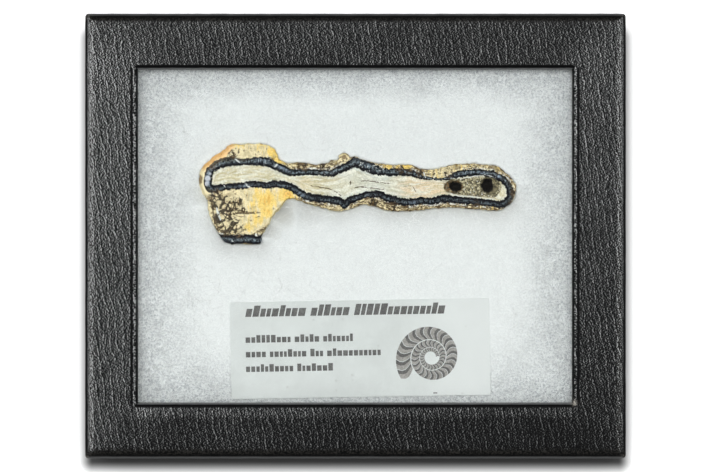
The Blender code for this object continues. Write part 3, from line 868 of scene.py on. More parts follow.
@dataclass(frozen=True)
class LeatherPaperFinish(Finish):
    """Black leather-grain paper, with painted grey highlights on the sides of its grain that face -X."""

    base: Colour = (0.003, 0.0032, 0.0033)
    # The colour of the painted highlights on the grain.
    grain_highlight: Colour = (0.39, 0.4, 0.4)
    # The colour of the painted highlight on the steep faces that turn to ±Y.
    wall_highlight: Colour = (0.17, 0.175, 0.175)
    scuffed: Colour = (0.5, 0.47, 0.42)
    roughness: float = 0.32
    grain_depth: float = 0.07
    wrinkle_share: float = 0.42
    pebble_share: float = 1.3
    case_half: Pair = (66.7, 54.9)
    case_height: float = 19.0

    def paint(self, g: Graph, shader: Step) -> None:
        """Lays painted grey highlights on the grain over black, a painted highlight on the steep faces
        that turn to ±Y, painted shade in the creases, and scuffs.
        """
        normal = g.add("ShaderNodeNewGeometry")["Normal"]
        turned_x, turned_y, turned_z = g.split(g.vector("ABSOLUTE", normal))
        shares = {"Wrinkle_Share": self.wrinkle_share, "Pebble_Share": self.pebble_share}
        grain = g.use(Effect.GRAIN, self.unfolded(g, turned_x), **shares)
        # Painted light: the highlights are brightest at the far left and on the left and right borders.
        painted_light = self.painted_light_gradient(g)
        # Painted highlights on the sides of the grain that face -X.
        highlight_share = g.span(grain["Facing"], -0.3, 0.55)
        highlight_share = g.math("POWER", highlight_share, g.span(painted_light, 0.25, 0.8, (3.6, 2.4)))
        highlight_share = highlight_share * g.span(grain["Tone"], 0.3, 0.7, (0.85, 1.12))
        # Painted highlights on the rolls that turn to ±X and on upright walls, and painted shade where the
        # paper turns to ±Y.
        lit = g.span(turned_y, 0.4, 0.12) * g.span(turned_x, 0.82, 0.6)
        lit = lit * g.span(turned_x, 0.08, 0.3, (1.0, 3.2)) * self.near_edge(g)
        upright = g.span(turned_z, 0.25, 0.08, (0.0, 0.6)) * self.outer_or_side(g, turned_y)
        # Painted shade in the creases beside the window.
        lit = g.math("MAXIMUM", lit, upright) * g.span(g.mark("crease"), 0.7, 0.2)
        lit = lit * painted_light * g.span(painted_light, 0.25, 0.8, (1.75, 1.0))
        colour = g.mix(highlight_share * lit, self.base, self.grain_highlight)
        # Painted highlight on the steep faces that turn to ±Y.
        wall_highlight = g.span(turned_y, 0.7, 0.97) * g.span(turned_z, 0.08, 0.2)
        colour = g.mix(wall_highlight, colour, self.wall_highlight)
        scuff = g.mark("wear") * g.span(g.cloud(0.45, 3.0, 0.7), 0.42, 0.62)
        shader.take(
            Base_Color=g.mix(scuff, colour, self.scuffed),
            Specular_IOR_Level=0.07,
            Roughness=grain["Tone"] * 0.14 + (self.roughness - 0.07),
            Normal=g.bump(grain["Height"], self.grain_depth),
        )

    def unfolded(self, g: Graph, turned_x: Value) -> Value:
        """The place with the end walls folded out flat, so that the wrinkles go on down them."""
        x, _, z = g.split(g.here)
        reach = (self.case_height - z) * g.math("SIGN", x) * g.span(turned_x, 0.5, 0.8)
        return g.vector("ADD", g.here, g.join(reach, 0.0))

    @staticmethod
    def near_edge(g: Graph) -> Value:
        """Low along the near edge of the lid's top, which is rolled away from the light."""
        return g.span(g.split(g.here)[1], -53.6, -51.4, (0.15, 1.0))

    def painted_light_gradient(self, g: Graph) -> Value:
        """Painted light: how bright the painted highlights are, most on the far left and least on the near
        right, more on the left and right borders than along the top and bottom, with a painted highlight
        along the window's near edge.
        """
        x, y, _ = g.split(g.here)
        across = x * -0.0042 + y * 0.0066 + 0.86
        beside = abs(x) / self.case_half[0] - abs(y) / self.case_half[1]
        # Painted highlight along the window's near edge.
        lip = g.span(y, -45.2, -43.6) * g.span(y, -41.0, -42.2, (0.0, 1.3))
        lip = lip * g.span(abs(x), 54.5, 53.0) + 1.0
        return across * lip * g.span(beside, -0.15, 0.15, (0.56, 1.2))

    @staticmethod
    def outer_or_side(g: Graph, turned_y: Value) -> Value:
        """0 on the window's walls along X, which get no painted highlights and stay dark as painted shade,
        and 1 elsewhere.
        """
        outside = g.span(abs(g.split(g.here)[1]), 46.0, 50.0)
        return g.math("MAXIMUM", outside, g.span(turned_y, 0.5, 0.3))


@dataclass(frozen=True)
class GlassFinish(Finish):
    """Clear float glass. Light from lamps passes it unbent, so what lies behind it is lit."""

    tint: Colour = (0.985, 1.0, 0.995)
    ior: float = 1.5

    def paint(self, g: Graph, shader: Step) -> None:
        """Makes it glass to the eye, and clear to rays that look for a lamp."""
        shader.take(Base_Color=self.tint, Roughness=0.0, Metallic=0.0)
        shader.take(IOR=self.ior, Transmission_Weight=1.0)
        path = g.add("ShaderNodeLightPath")
        clear = g.add("ShaderNodeBsdfTransparent")[0]
        surface = shader[0]
        for ray in ("Is Diffuse Ray", "Is Shadow Ray"):
            surface = g.add("ShaderNodeMixShader").take(path[ray], surface, clear)[0]
        g.feed(g.tree.nodes["Material Output"].inputs["Surface"], surface)


@dataclass(frozen=True)
class BattingFinish(Finish):
    """White polyester fibre, in the mass."""

    light: Colour = (0.785, 0.815, 0.805)
    # The colour of the painted shade between the strands and in the corners.
    shade: Colour = (0.38, 0.405, 0.425)
    # The colour of the painted shadow along the near side of the tooth and in the hollows.
    thin: Colour = (0.36, 0.365, 0.35)
    roughness: float = 0.85

    def paint(self, g: Graph, shader: Step) -> None:
        """Paints shade between its crossed strands, more where it is loose and in the corners, a little
        more towards the top (+Y), and a painted shadow beside the tooth.
        """
        loft = g.mark("loft")
        mottle = g.use(Effect.MOTTLE, g.here, Cloud_Size=3.0, Grain_Size=0.34, Grain_Share=0.7)[0]
        strand = g.noise(g.stretch(g.warp(g.here, 2.4, 2.6), (1.0, 0.35, 1.0)), 0.3, 2.0, 0.7)
        cross = g.noise(g.stretch(g.warp(g.here, 2.8, 2.6), (0.35, 1.0, 1.0)), 0.3, 2.0, 0.7)
        weave = (strand + cross) * 0.5
        fine = g.cloud(0.5, 2.0, 0.7)
        tone = g.span(fine * 1.1 + weave * 0.45 + mottle * 0.25 - 0.37, 0.36, 0.68)
        # Painted shade between the strands, deeper where the fibre is loose and in the corners.
        depth = (1.0 - tone) * (loft * 0.76 + 0.15)
        # Painted shade, a little darker towards the top (+Y).
        depth = depth + g.span(g.split(g.here)[1], 8.0, 22.0, (0.0, 0.08))
        # Painted shadow along the near side of the tooth and in the hollows beside it.
        colour = g.mix(g.mark("pressed"), g.mix(depth, self.light, self.shade), self.thin)
        relief = g.bump(weave * (loft * 0.8 + 0.2), 0.45, 0.8)
        shader.take(Base_Color=colour, Normal=relief, Roughness=self.roughness, Sheen_Weight=0.15)


@dataclass(frozen=True)
class FibreFinish(Finish):
    """Single loose fibres, a little glossy."""

    base: Colour = (0.93, 0.95, 0.945)
    dull: float = 0.8
    roughness: float = 0.4

    def paint(self, g: Graph, shader: Step) -> None:
        """Mottles the fibres a little."""
        mottle = g.use(Effect.MOTTLE, g.here, Cloud_Size=3.0, Grain_Size=0.8, Grain_Share=0.4)[0]
        colour = g.mix(g.span(mottle, 0.35, 0.65), times(self.base, self.dull), self.base)
        shader.take(Base_Color=colour, Roughness=self.roughness)


@dataclass(frozen=True)
class CardFinish(Finish):
    """Thin white card, a little uneven, with painted light that makes it lighter towards its right end."""

    base: Colour = (0.605, 0.64, 0.625)
    # The colour of the painted light on the card's right end.
    clean: Colour = (0.74, 0.77, 0.76)
    fleck: Colour = (0.3, 0.3, 0.28)
    roughness: float = 0.55

    def paint(self, g: Graph, shader: Step) -> None:
        """Mottles the card, paints light onto its right end and scatters a few flecks."""
        mottle = g.use(Effect.MOTTLE, g.here, Cloud_Size=7.0, Grain_Size=0.9, Grain_Share=0.3)[0]
        colour = g.mix(g.span(mottle, 0.3, 0.7), times(self.base, 0.94), times(self.base, 1.04))
        # Painted light: the card grows lighter towards its right end.
        clean = g.span(g.split(g.here)[0], 10.0, 26.0, (0.0, 0.5))
        colour = g.mix(clean, colour, self.clean)
        specks = g.use(Effect.SPECKLE, g.here, Cell_Size=0.8, Share=0.01)
        colour = g.mix(specks["Speck"] * 0.25, colour, self.fleck)
        relief = g.bump(g.cloud(0.35, 2.0, 0.5), 0.02)
        shader.take(Base_Color=colour, Normal=relief, Roughness=self.roughness)


@dataclass(frozen=True)
class InkFinish(Finish):
    """Toner on card, uneven as a laser print is."""

    base: Colour = (0.06, 0.06, 0.057)
    thin: Colour = (0.13, 0.13, 0.125)
    patchiness: float = 0.5
    roughness: float = 0.5

    def paint(self, g: Graph, shader: Step) -> None:
        """Thins the toner in patches."""
        mottle = g.use(Effect.MOTTLE, g.here, Cloud_Size=1.6, Grain_Size=0.3, Grain_Share=0.6)[0]
        reach = self.patchiness / 4
        colour = g.mix(g.span(mottle, 0.5 - reach, 0.5 + reach), self.base, self.thin)
        shader.take(Base_Color=colour, Roughness=self.roughness)


@dataclass(frozen=True)
class FossilFinish(Finish):
    """The tissues of a polished mammoth tooth, which the mesh's named numbers lay out."""

    enamel_dark: Colour = (0.003, 0.004, 0.007)
    enamel_light: Colour = (0.2, 0.255, 0.28)
    enamel_blue: Colour = (0.3, 0.38, 0.48)
    enamel_glint: Colour = (0.58, 0.61, 0.66)
    enamel_moss: Colour = (0.1, 0.095, 0.06)
    enamel_rim: Colour = (0.003, 0.003, 0.003)
    dentine: Colour = (0.64, 0.59, 0.4)
    dentine_chalk: Colour = (0.6, 0.64, 0.6)
    dentine_blush: Colour = (0.74, 0.57, 0.38)
    dentine_milky: Colour = (0.8, 0.8, 0.7)
    cement_pale: Colour = (0.86, 0.76, 0.47)
    cement_tan: Colour = (0.38, 0.305, 0.165)
    cement_brown: Colour = (0.075, 0.045, 0.018)
    peach: Colour = (0.86, 0.58, 0.27)
    peach_deep: Colour = (0.76, 0.42, 0.14)
    ochre_light: Colour = (0.93, 0.68, 0.17)
    ochre_deep: Colour = (0.8, 0.42, 0.06)
    rot: Colour = (0.022, 0.013, 0.006)
    pale_line: Colour = (0.72, 0.75, 0.72)
    sand_light: Colour = (0.57, 0.52, 0.34)
    sand_mid: Colour = (0.22, 0.195, 0.11)
    sand_dark: Colour = (0.07, 0.06, 0.035)
    # The near-black of the painted shade deep in the sockets.
    hollow: Colour = (0.009, 0.007, 0.005)

    def paint(self, g: Graph, shader: Step) -> None:
        """Lays the tissues over one another, then the decay, the sediment and the cracks."""
        inside = g.span(g.mark("within"), -0.1, 0.1)
        colour = g.mix(inside, self.cement_colour(g), self.dentine_colour(g))
        colour = g.mix(self.enamel_mask(g), colour, self.enamel_colour(g))
        colour = self.with_sediment(g, self.with_rot(g, colour))
        side = g.span(g.mark("rim"), -0.02, -0.3)
        dull = g.math("MAXIMUM", side, g.span(g.mark("pulp"), -0.1, 0.2))
        relief = g.cloud(0.42, 3.0, 0.65) * (dull * 0.85 + 0.15)
        shader.take(
            Base_Color=self.with_lines(g, colour),
            Specular_IOR_Level=0.35,
            Roughness=dull * 0.6 + 0.2,
            Normal=g.bump(relief, 0.2, 0.8),
        )

    @staticmethod
    def grit(g: Graph, colour: Value, low: Colour, high: Colour) -> Value:
        """Multiplies a colour by fine uneven grain."""
        grain = g.mix(g.span(g.cloud(0.34, 2.0, 0.7), 0.33, 0.67), low, high)
        return g.mix(1.0, colour, grain, "MULTIPLY")

    def enamel_mask(self, g: Graph) -> Value:
        """1 on the enamel, with small teeth along its edges."""
        run = g.mark("run")
        comb = g.noise(g.join(run * 1.25, g.mark("within") * 0.5), 1.0, 3.0, 0.7)
        edge = comb * 1.2 + g.mark("enamel_edge") - 0.61
        edge = g.cloud(0.5) * 0.8 + edge - 0.4
        return g.span(edge, 0.05, -0.05)

    def enamel_colour(self, g: Graph) -> Value:
        """Blue-black, paler along its core in cross striations, with blue and mossy patches."""
        run, across = g.mark("run"), g.mark("across")
        strand = g.join(run * 1.7, across * 0.9)
        stripe = g.noise(strand, 1.0, 3.0, 0.7)
        patch = g.noise(g.join(run * 0.5, across), 1.0, 2.0, 0.5)
        fleck = g.cloud(0.45, 2.0, 0.7)
        middle = abs(across - 0.12)
        body = g.span(fleck * 1.1 + middle, 1.2, 0.7)
        both = (stripe + fleck) * 0.5
        tone = g.span(both, 0.45, 0.6) * body
        tone = tone * g.span(g.mark("lower"), 0.0, 1.0, (1.35, 0.65))
        tone = tone * g.span(patch, 0.3, 0.62, (0.3, 1.1))
        colour = g.mix(tone, self.enamel_dark, self.enamel_light)
        moss = g.mark("moss") * g.span(fleck, 0.38, 0.6)
        colour = g.mix(moss * g.span(across, -0.1, 0.4), colour, self.enamel_moss)
        blue = g.mark("blue") * g.span(stripe, 0.4, 0.6)
        colour = g.mix(blue * body, colour, self.enamel_blue)
        glint = g.span(g.mark("glint"), 0.3, 1.0) * g.span(stripe, 0.3, 0.5, (0.5, 1.0))
        colour = g.mix(glint * 0.8, colour, self.enamel_glint)
        frost = g.use(Effect.SPECKLE, g.warp(g.here, 0.6, 0.3), Cell_Size=0.42, Share=0.3)
        frosted = frost["Speck"] * g.mark("frost")
        colour = g.mix(frosted, colour, self.pale_line)
        return g.mix(g.span(stripe * 0.5 + middle, 1.05, 1.3), colour, self.enamel_rim)

    def dentine_colour(self, g: Graph) -> Value:
        """Cream with faint growth lines along the plate, chalky or flushed in places."""
        run, across = g.mark("run"), g.mark("across")
        growth = g.noise(g.join(run * 0.14, across * 1.5), 1.0, 4.0, 0.65)
        fringe = g.span(g.mark("enamel_edge"), 1.3, 0.1)
        fringe = fringe * g.span(g.cloud(1.6), 0.35, 0.6)
        chalk = fringe * 0.6 + g.mark("chalk")
        colour = g.mix(chalk, self.dentine, self.dentine_chalk)
        blush = g.mark("blush") * g.span(growth, 0.3, 0.6)
        colour = g.mix(blush, colour, self.dentine_blush)
        lines = g.mix(g.span(growth, 0.4, 0.6), (0.84, 0.82, 0.74), (1.1, 1.1, 1.1))
        colour = g.mix(1.0, colour, lines, "MULTIPLY")
        cloud = g.noise(g.join(run * 0.22, across * 0.8), 1.0, 3.0, 0.65)
        milky = g.span(cloud, 0.47, 0.6) * 0.75
        colour = g.mix(milky, colour, self.dentine_milky)
        colour = self.grit(g, colour, (0.8, 0.8, 0.77), (1.1, 1.1, 1.1))
        specks = g.use(Effect.SPECKLE, g.here, Cell_Size=0.5, Share=0.05)
        return g.mix(specks["Speck"] * 0.3, colour, self.cement_tan)

    def cement_colour(self, g: Graph) -> Value:
        """Cream to tan, layered and gritty where it is a thin crust, with ochre stains."""
        edge, rim = g.mark("enamel_edge"), g.mark("rim")
        thin = g.span(g.math("MAXIMUM", rim, 0.0) + edge, 3.0, 2.0)
        wavy = g.cloud(0.8) * 1.5 + edge * 2.8
        layers = g.noise(g.join(g.mark("run") * 0.8, wavy), 1.0, 2.0, 0.65)
        crust = g.mix(g.span(layers, 0.48, 0.54), self.cement_tan, self.cement_pale)
        crust = g.mix(g.span(layers, 0.48, 0.43), crust, self.cement_brown)
        patchy = g.span(g.cloud(1.3, 3.0, 0.7), 0.46, 0.56)
        seam = g.span(edge, 0.55, 0.3) * patchy * g.span(layers, 0.34, 0.46)
        crust = g.mix(seam, crust, times(self.pale_line, 1.05))
        grains = g.tones(g.cells(g.warp(g.here, 0.8, 0.4), 0.38)["Color"])
        dim = g.span(grains[0], 0.5, 0.3) * 0.75
        crust = g.mix(dim, crust, self.cement_brown)
        clean = g.mark("clean") * g.span(grains[1], 0.15, 0.4)
        crust = g.mix(g.math("MINIMUM", clean, 1.0), crust, self.cement_pale)
        blot = g.cloud(1.5, 3.0)
        mass = g.mix(g.span(blot, 0.42, 0.68) * 0.55, self.cement_pale, self.cement_tan)
        colour = g.mix(thin, mass, crust)
        streaks = g.noise(g.stretch(g.warp(g.here, 2.0, 0.8), (1.0, 0.22, 1.0)), 0.7, 3.0, 0.65)
        stain = streaks * 2.0 + g.mark("ochre") - 0.55
        colour = g.mix(g.span(stain, 0.6, 1.2) * 0.9, colour, self.ochre_light)
        colour = g.mix(g.span(stain, 1.3, 1.9) * 0.8, colour, self.ochre_deep)
        gritty = self.grit(g, colour, (0.64, 0.6, 0.52), (1.12, 1.12, 1.11))
        colour = g.mix(thin * -0.5 + 0.5, gritty, colour)
        ragged = g.cloud(0.7) * 1.1 + rim - 0.55
        outline = g.span(ragged, 0.2, 0.04) * thin * g.span(rim, -0.2, -0.02)
        outline = outline * g.span(g.cloud(1.1), 0.38, 0.52)
        colour = g.mix(outline * 0.8, colour, times(self.cement_brown, 1.6))
        specks = g.use(Effect.SPECKLE, g.warp(g.here, 0.8, 0.5), Cell_Size=0.55, Share=0.2)
        pitted = specks["Speck"] * g.span(g.cloud(2.2), 0.38, 0.52)
        pitted = pitted * g.span(stain, 0.5, 1.1, (1.0, 0.3))
        colour = g.mix(pitted * 0.75, colour, times(self.cement_brown, 2.2))
        flare = g.span(g.mark("flare"), 0.35, 0.9)
        peach = g.mix(g.span(g.cloud(1.2, 3.0), 0.4, 0.65), self.peach, self.peach_deep)
        peach = g.mix(g.span(g.mark("peach"), 0.25, 0.7), self.cement_pale, peach)
        colour = g.mix(flare * g.span(rim, 0.38, 0.12), colour, peach)
        lip = g.span(rim, 0.12, 0.34) * g.span(edge + patchy, 0.1, 0.3)
        colour = g.mix(flare * lip, colour, self.cement_pale)
        line = g.span(edge, 0.34, 0.14) * g.span(rim, -0.1, 0.1)
        colour = g.mix(flare * line, colour, self.rot)
        stained = g.cloud(0.5) * 0.6 + g.mark("stain")
        rusty = times(self.cement_brown, 2.4)
        return g.mix(g.span(stained, 0.75, 1.1) * 0.85, colour, rusty)

    def with_rot(self, g: Graph, colour: Value) -> Value:
        """Adds the dark brown, squiggly decay of the root block."""
        rot = g.mark("rot")
        bent = g.warp(g.warp(g.here, 2.4, 1.6), 0.7, 0.35)
        loops = g.span(g.cells(bent, 1.6, "DISTANCE_TO_EDGE")["Distance"], 0.15, 0.09)
        curls = abs(g.noise(bent, 1.3, 0.0, 0.5) - 0.5)
        loops = g.math("MAXIMUM", loops, g.span(curls, 0.055, 0.03))
        patchy = g.cloud(1.0, 3.0)
        worn = patchy * 1.2 + rot - 0.6
        blot = g.span(patchy + rot, 1.28, 1.36)
        dark = g.math("MAXIMUM", loops * g.span(worn, 0.3, 0.46), blot)
        rusty = g.span(rot, 0.15, 0.6) * g.span(g.cloud(0.6), 0.44, 0.6)
        colour = g.mix(rusty * 0.6, colour, times(self.cement_brown, 3.4))
        return g.mix(dark * 0.95, colour, self.rot)

    def with_sediment(self, g: Graph, colour: Value) -> Value:
        """Adds the sandy fill of the pulp cavity, the brown walls of its sockets and the painted shade
        that blackens their deep ends.
        """
        grains = g.cells(g.warp(g.here, 0.5, 0.25), 0.42)
        tones = g.tones(grains["Color"])
        light = g.cloud(1.6) * 0.7 + tones[0] - 0.35
        sand = g.mix(g.span(light, 0.25, 0.8), self.sand_mid, self.sand_light)
        sand = g.mix(g.span(grains["Distance"], 0.5, 0.66), sand, self.sand_dark)
        specks = g.use(Effect.SPECKLE, g.here, Cell_Size=0.4, Share=0.2)
        sand = g.mix(specks["Speck"], sand, g.mix(specks["Tone"], self.sand_dark, self.pale_line))
        pulp = g.mark("pulp")
        ragged = g.cloud(0.6) * 0.5 + pulp - 0.25
        colour = g.mix(g.span(ragged, -0.05, 0.1), colour, sand)
        uneven = g.cloud(0.5) + g.cloud(1.1)
        depth = uneven * 0.6 + g.mark("depth") - 0.3
        right = g.span(g.split(g.here)[0], 27.0, 30.0)
        earth = g.mix(right, times(self.cement_brown, 3.0), self.sand_mid)
        wall = g.mix(g.span(tones[1], 0.35, 0.6), self.sand_dark, earth)
        wall = g.mix(g.span(tones[2], 0.75, 0.9) * 0.7, wall, self.sand_light)
        colour = g.mix(g.span(depth, 0.75, 1.0), colour, wall)
        # Painted shade: the deepest part of each socket turns near-black.
        return g.mix(g.span(depth, 1.5, 2.6), colour, self.hollow)

    def with_lines(self, g: Graph, colour: Value) -> Value:
        """Adds the pale and the dark cracks."""
        broken = g.cloud(0.6, 2.0, 0.7)
        pale = g.span(g.mark("pale_crack"), 0.2, 0.6) * g.span(broken, 0.34, 0.5)
        colour = g.mix(pale * 0.85, colour, self.pale_line)
        dark = g.span(g.mark("dark_crack"), 0.2, 0.5) * g.span(broken, 0.36, 0.46)
        return g.mix(dark * 0.9, colour, self.cement_brown)


# ---- The case ----


@dataclass
class CaseShell:
    """What the lid and the tray have in common: an outline, and rings set in from it."""

    outer: Pair

    def inset(self, reach: float, z: float, radius: float) -> Ring:
        """A ring that is set in from the outline."""
        return Ring(self.outer[0] / 2 - reach, self.outer[1] / 2 - reach, z, radius)


@dataclass
class CaseLid(CaseShell):
    """The lid: a swept shell with rolled paper edges at the window and round the outside."""

    rim_z: float
    top_z: float
    board: float = 1.6
    edge_radius: float = 3.0
    corner_radius: float = 0.9
    window_top: Pair = (109.15, 84.15)
    window_bottom: Pair = (106.75, 81.85)
    window_centre: Pair = (-0.13, -0.05)
    rim_radius: float = 0.45
    cell: float = 0.62
    wrinkle_depth: float = 0.05
    fold_depth: float = 0.07

    def across_top(self, share: float) -> Ring:
        """A ring at a share of the way from the outside to the window's top edge."""
        half = [
            (outer / 2) * (1 - share) + (window / 2) * share
            for outer, window in zip(self.outer, self.window_top)
        ]
        centre = tuple(c * share for c in self.window_centre)
        return Ring(*half, self.top_z, self.corner_radius * (1 - share), centre)

    def rings(self) -> list[Ring]:
        """The rings of the shell, up the outside, over the top and back down inside."""
        shoulder, foot = self.top_z - self.edge_radius, self.rim_z + self.rim_radius
        rings = [self.inset(0.0, z, self.corner_radius) for z in np.linspace(foot, shoulder, 18)]
        for turn in np.linspace(0, math.pi / 2, 9)[1:]:
            reach = self.edge_radius * (1 - math.cos(turn))
            z = shoulder + self.edge_radius * math.sin(turn)
            rings.append(self.inset(reach, z, self.corner_radius - reach))
        first = self.edge_radius / (self.outer[0] / 2 - self.window_top[0] / 2)
        shares = np.append(np.linspace(first, 0.97, 18)[1:], 0.985)
        rings += [self.across_top(share) for share in shares]
        rings += self.window_roll()
        ceiling = self.top_z - self.board
        rings += [self.inset(self.board, z, 0.0) for z in np.linspace(ceiling, foot, 5)]
        rings.append(self.inset(self.board - 0.15, foot - 0.3, 0.3))
        rings.append(self.inset(self.board - self.rim_radius, foot - self.rim_radius, 0.3))
        rings.append(self.inset(self.rim_radius, self.rim_z, 0.6))
        rings.append(self.inset(0.15, self.rim_z + 0.15, 0.8))
        return rings

    def window_roll(self) -> list[Ring]:
        """The paper's roll from the top down to the glass."""
        rings = []
        for turn in np.linspace(0.0, math.pi / 2, 9):
            out = 1 - math.sin(turn)
            half = [(low + (top - low) * out) / 2 for top, low in zip(self.window_top, self.window_bottom)]
            z = self.top_z - self.board * (1 - math.cos(turn))
            rings.append(Ring(*half, z, 0.25, self.window_centre))
        return rings

    def wrinkle(self, piece: Object) -> None:
        """Gives the paper its larger wrinkles and the folds at the corners, and marks its wear and the
        painted shade of its creases.
        """
        mesh = piece.data
        spots, normals = np.zeros((2, len(mesh.vertices) * 3))
        mesh.vertices.foreach_get("co", spots)
        mesh.vertex_normals.foreach_get("vector", normals)
        spots, normals = spots.reshape(-1, 3) / MM, normals.reshape(-1, 3)
        half = np.array(self.outer) / 2
        from_x, from_y = (half - np.abs(spots[:, :2])).T
        from_wall = np.minimum(from_x, from_y)
        outside = (spots[:, 2] > self.top_z - self.board + 0.2) | (from_wall < self.board * 0.5)
        lift = noise_at(spots * np.array([1.0, 0.4, 1.0]), 1.5, 3) + noise_at(spots, 3.4, 5)
        on_top = ease(spots[:, 2], self.top_z - self.edge_radius, self.top_z)
        fold = -self.fold_depth * bell(from_x - from_y, 0.5) * ease(from_wall, 7.5, 3.5) * on_top
        spots += normals * (((lift * 0.6 - 0.9) * self.wrinkle_depth + fold) * outside)[:, None]
        spots = np.clip(spots, (*-half, self.rim_z), (*half, self.top_z))
        mesh.vertices.foreach_set("co", (spots * MM).ravel())
        from_x, from_y = (half - np.abs(spots[:, :2])).T
        roll = bell(spots[:, 2] - self.top_z + 0.35, 0.3) * (np.minimum(from_x, from_y) < self.edge_radius)
        (top_x, top_y), (low_x, low_y) = (np.array(s) / 2 for s in (self.window_top, self.window_bottom))
        nick = np.hypot(spots[:, 0] - low_x - 0.3, spots[:, 1] + low_y)
        wear = roll * 0.05 + bell(np.hypot(from_x, from_y), 1.3) * 0.45 + bell(nick, 0.55) * 1.4
        from_side = np.abs(spots[:, 0] - self.window_centre[0]) - top_x
        # Painted shade: a dark line beside the window's sides, and along the steep lower part of its
        # walls.
        crease = bell(from_side - 0.2, 0.3) * ease(np.abs(spots[:, 1]), top_y, top_y - 1.2)
        inside = ease(np.abs(spots[:, 1] - self.window_centre[1]), top_y + 0.1, top_y - 0.1)
        crease = np.maximum(crease, ease(from_side, -0.75, -0.95) * inside)
        mark_corners(mesh, {"wear": wear, "crease": crease})
        mesh.update()

    def build(self, paper: Material) -> Object:
        """Builds the lid.

        Args:
            paper: The material of its cover.

        Returns:
            The finished piece.
        """
        cells = (round(self.outer[0] / self.cell), round(self.outer[1] / self.cell), 5)
        corners, faces = sweep(self.rings(), cells, closed=True)
        piece = new_piece("lid_cover", corners, faces, [paper])
        tidy_mesh(piece)
        self.wrinkle(piece)
        finish_piece(piece, "case_lid")
        return piece


@dataclass
class CaseTray(CaseShell):
    """The tray under the lid, papered all over."""

    top_z: float
    board: float = 1.6
    edge_radius: float = 0.5
    cell: float = 1.6

    def rings(self) -> list[Ring]:
        """The rings from the middle of the underside, up the wall and back to the floor's middle."""
        half_x, half_y = self.outer[0] / 2, self.outer[1] / 2
        radius, board, high = self.edge_radius, self.board, self.top_z - 0.3
        rings = [Ring(half_x * s, half_y * s, 0.0, 0.4) for s in np.linspace(0.02, 0.98, 26)]
        rings += [self.inset(radius * c, radius * c**2, 0.5) for c in (1.0, 0.45, 0.0)]
        rings += [self.inset(0.0, z, 0.5) for z in np.linspace(radius + 1.0, high, 9)]
        rings += [self.inset(0.25, self.top_z, 0.4), self.inset(board - 0.25, self.top_z, 0.2)]
        rings += [self.inset(board, z, 0.1) for z in np.linspace(high, board + 0.1, 6)]
        inner_x, inner_y = half_x - board, half_y - board
        rings += [Ring(inner_x * s, inner_y * s, board, 0.1) for s in np.linspace(0.995, 0.02, 8)]
        return rings

    def build(self, paper: Material) -> Object:
        """Builds the tray with its cover paper."""
        cells = (round(self.outer[0] / self.cell), round(self.outer[1] / self.cell), 3)
        corners, faces = sweep(self.rings(), cells, closed=False)
        piece = new_piece("tray_cover", corners, faces, [paper], {"wear": np.zeros(len(corners))})
        tidy_mesh(piece, sharp_deg=50)
        finish_piece(piece, "case_base")
        return piece


@dataclass
class GlassPane:
    """The pane under the window, with its edges ground off."""

    low: Vector
    high: Vector
    arris: float = 0.2

    def build(self, glass: Material) -> Object:
        """Builds the pane."""
        size, middle = self.high - self.low, (self.high + self.low) / 2
        bm = bmesh.new()
        place = Matrix.Translation(middle) @ Matrix.Diagonal((*size, 1.0))
        bmesh.ops.create_cube(bm, size=1.0, matrix=place)
        bmesh.ops.bevel(
            bm, geom=bm.edges[:], offset=self.arris * MM, segments=2, profile=0.5, affect="EDGES"
        )
        mesh = bpy.data.meshes.new("window_glass")
        bm.to_mesh(mesh)
        bm.free()
        mesh.materials.append(glass)
        piece = put_in_scene("window_glass", mesh)
        finish_piece(piece, "glass_pane")
        return piece


# ---- The tooth ----


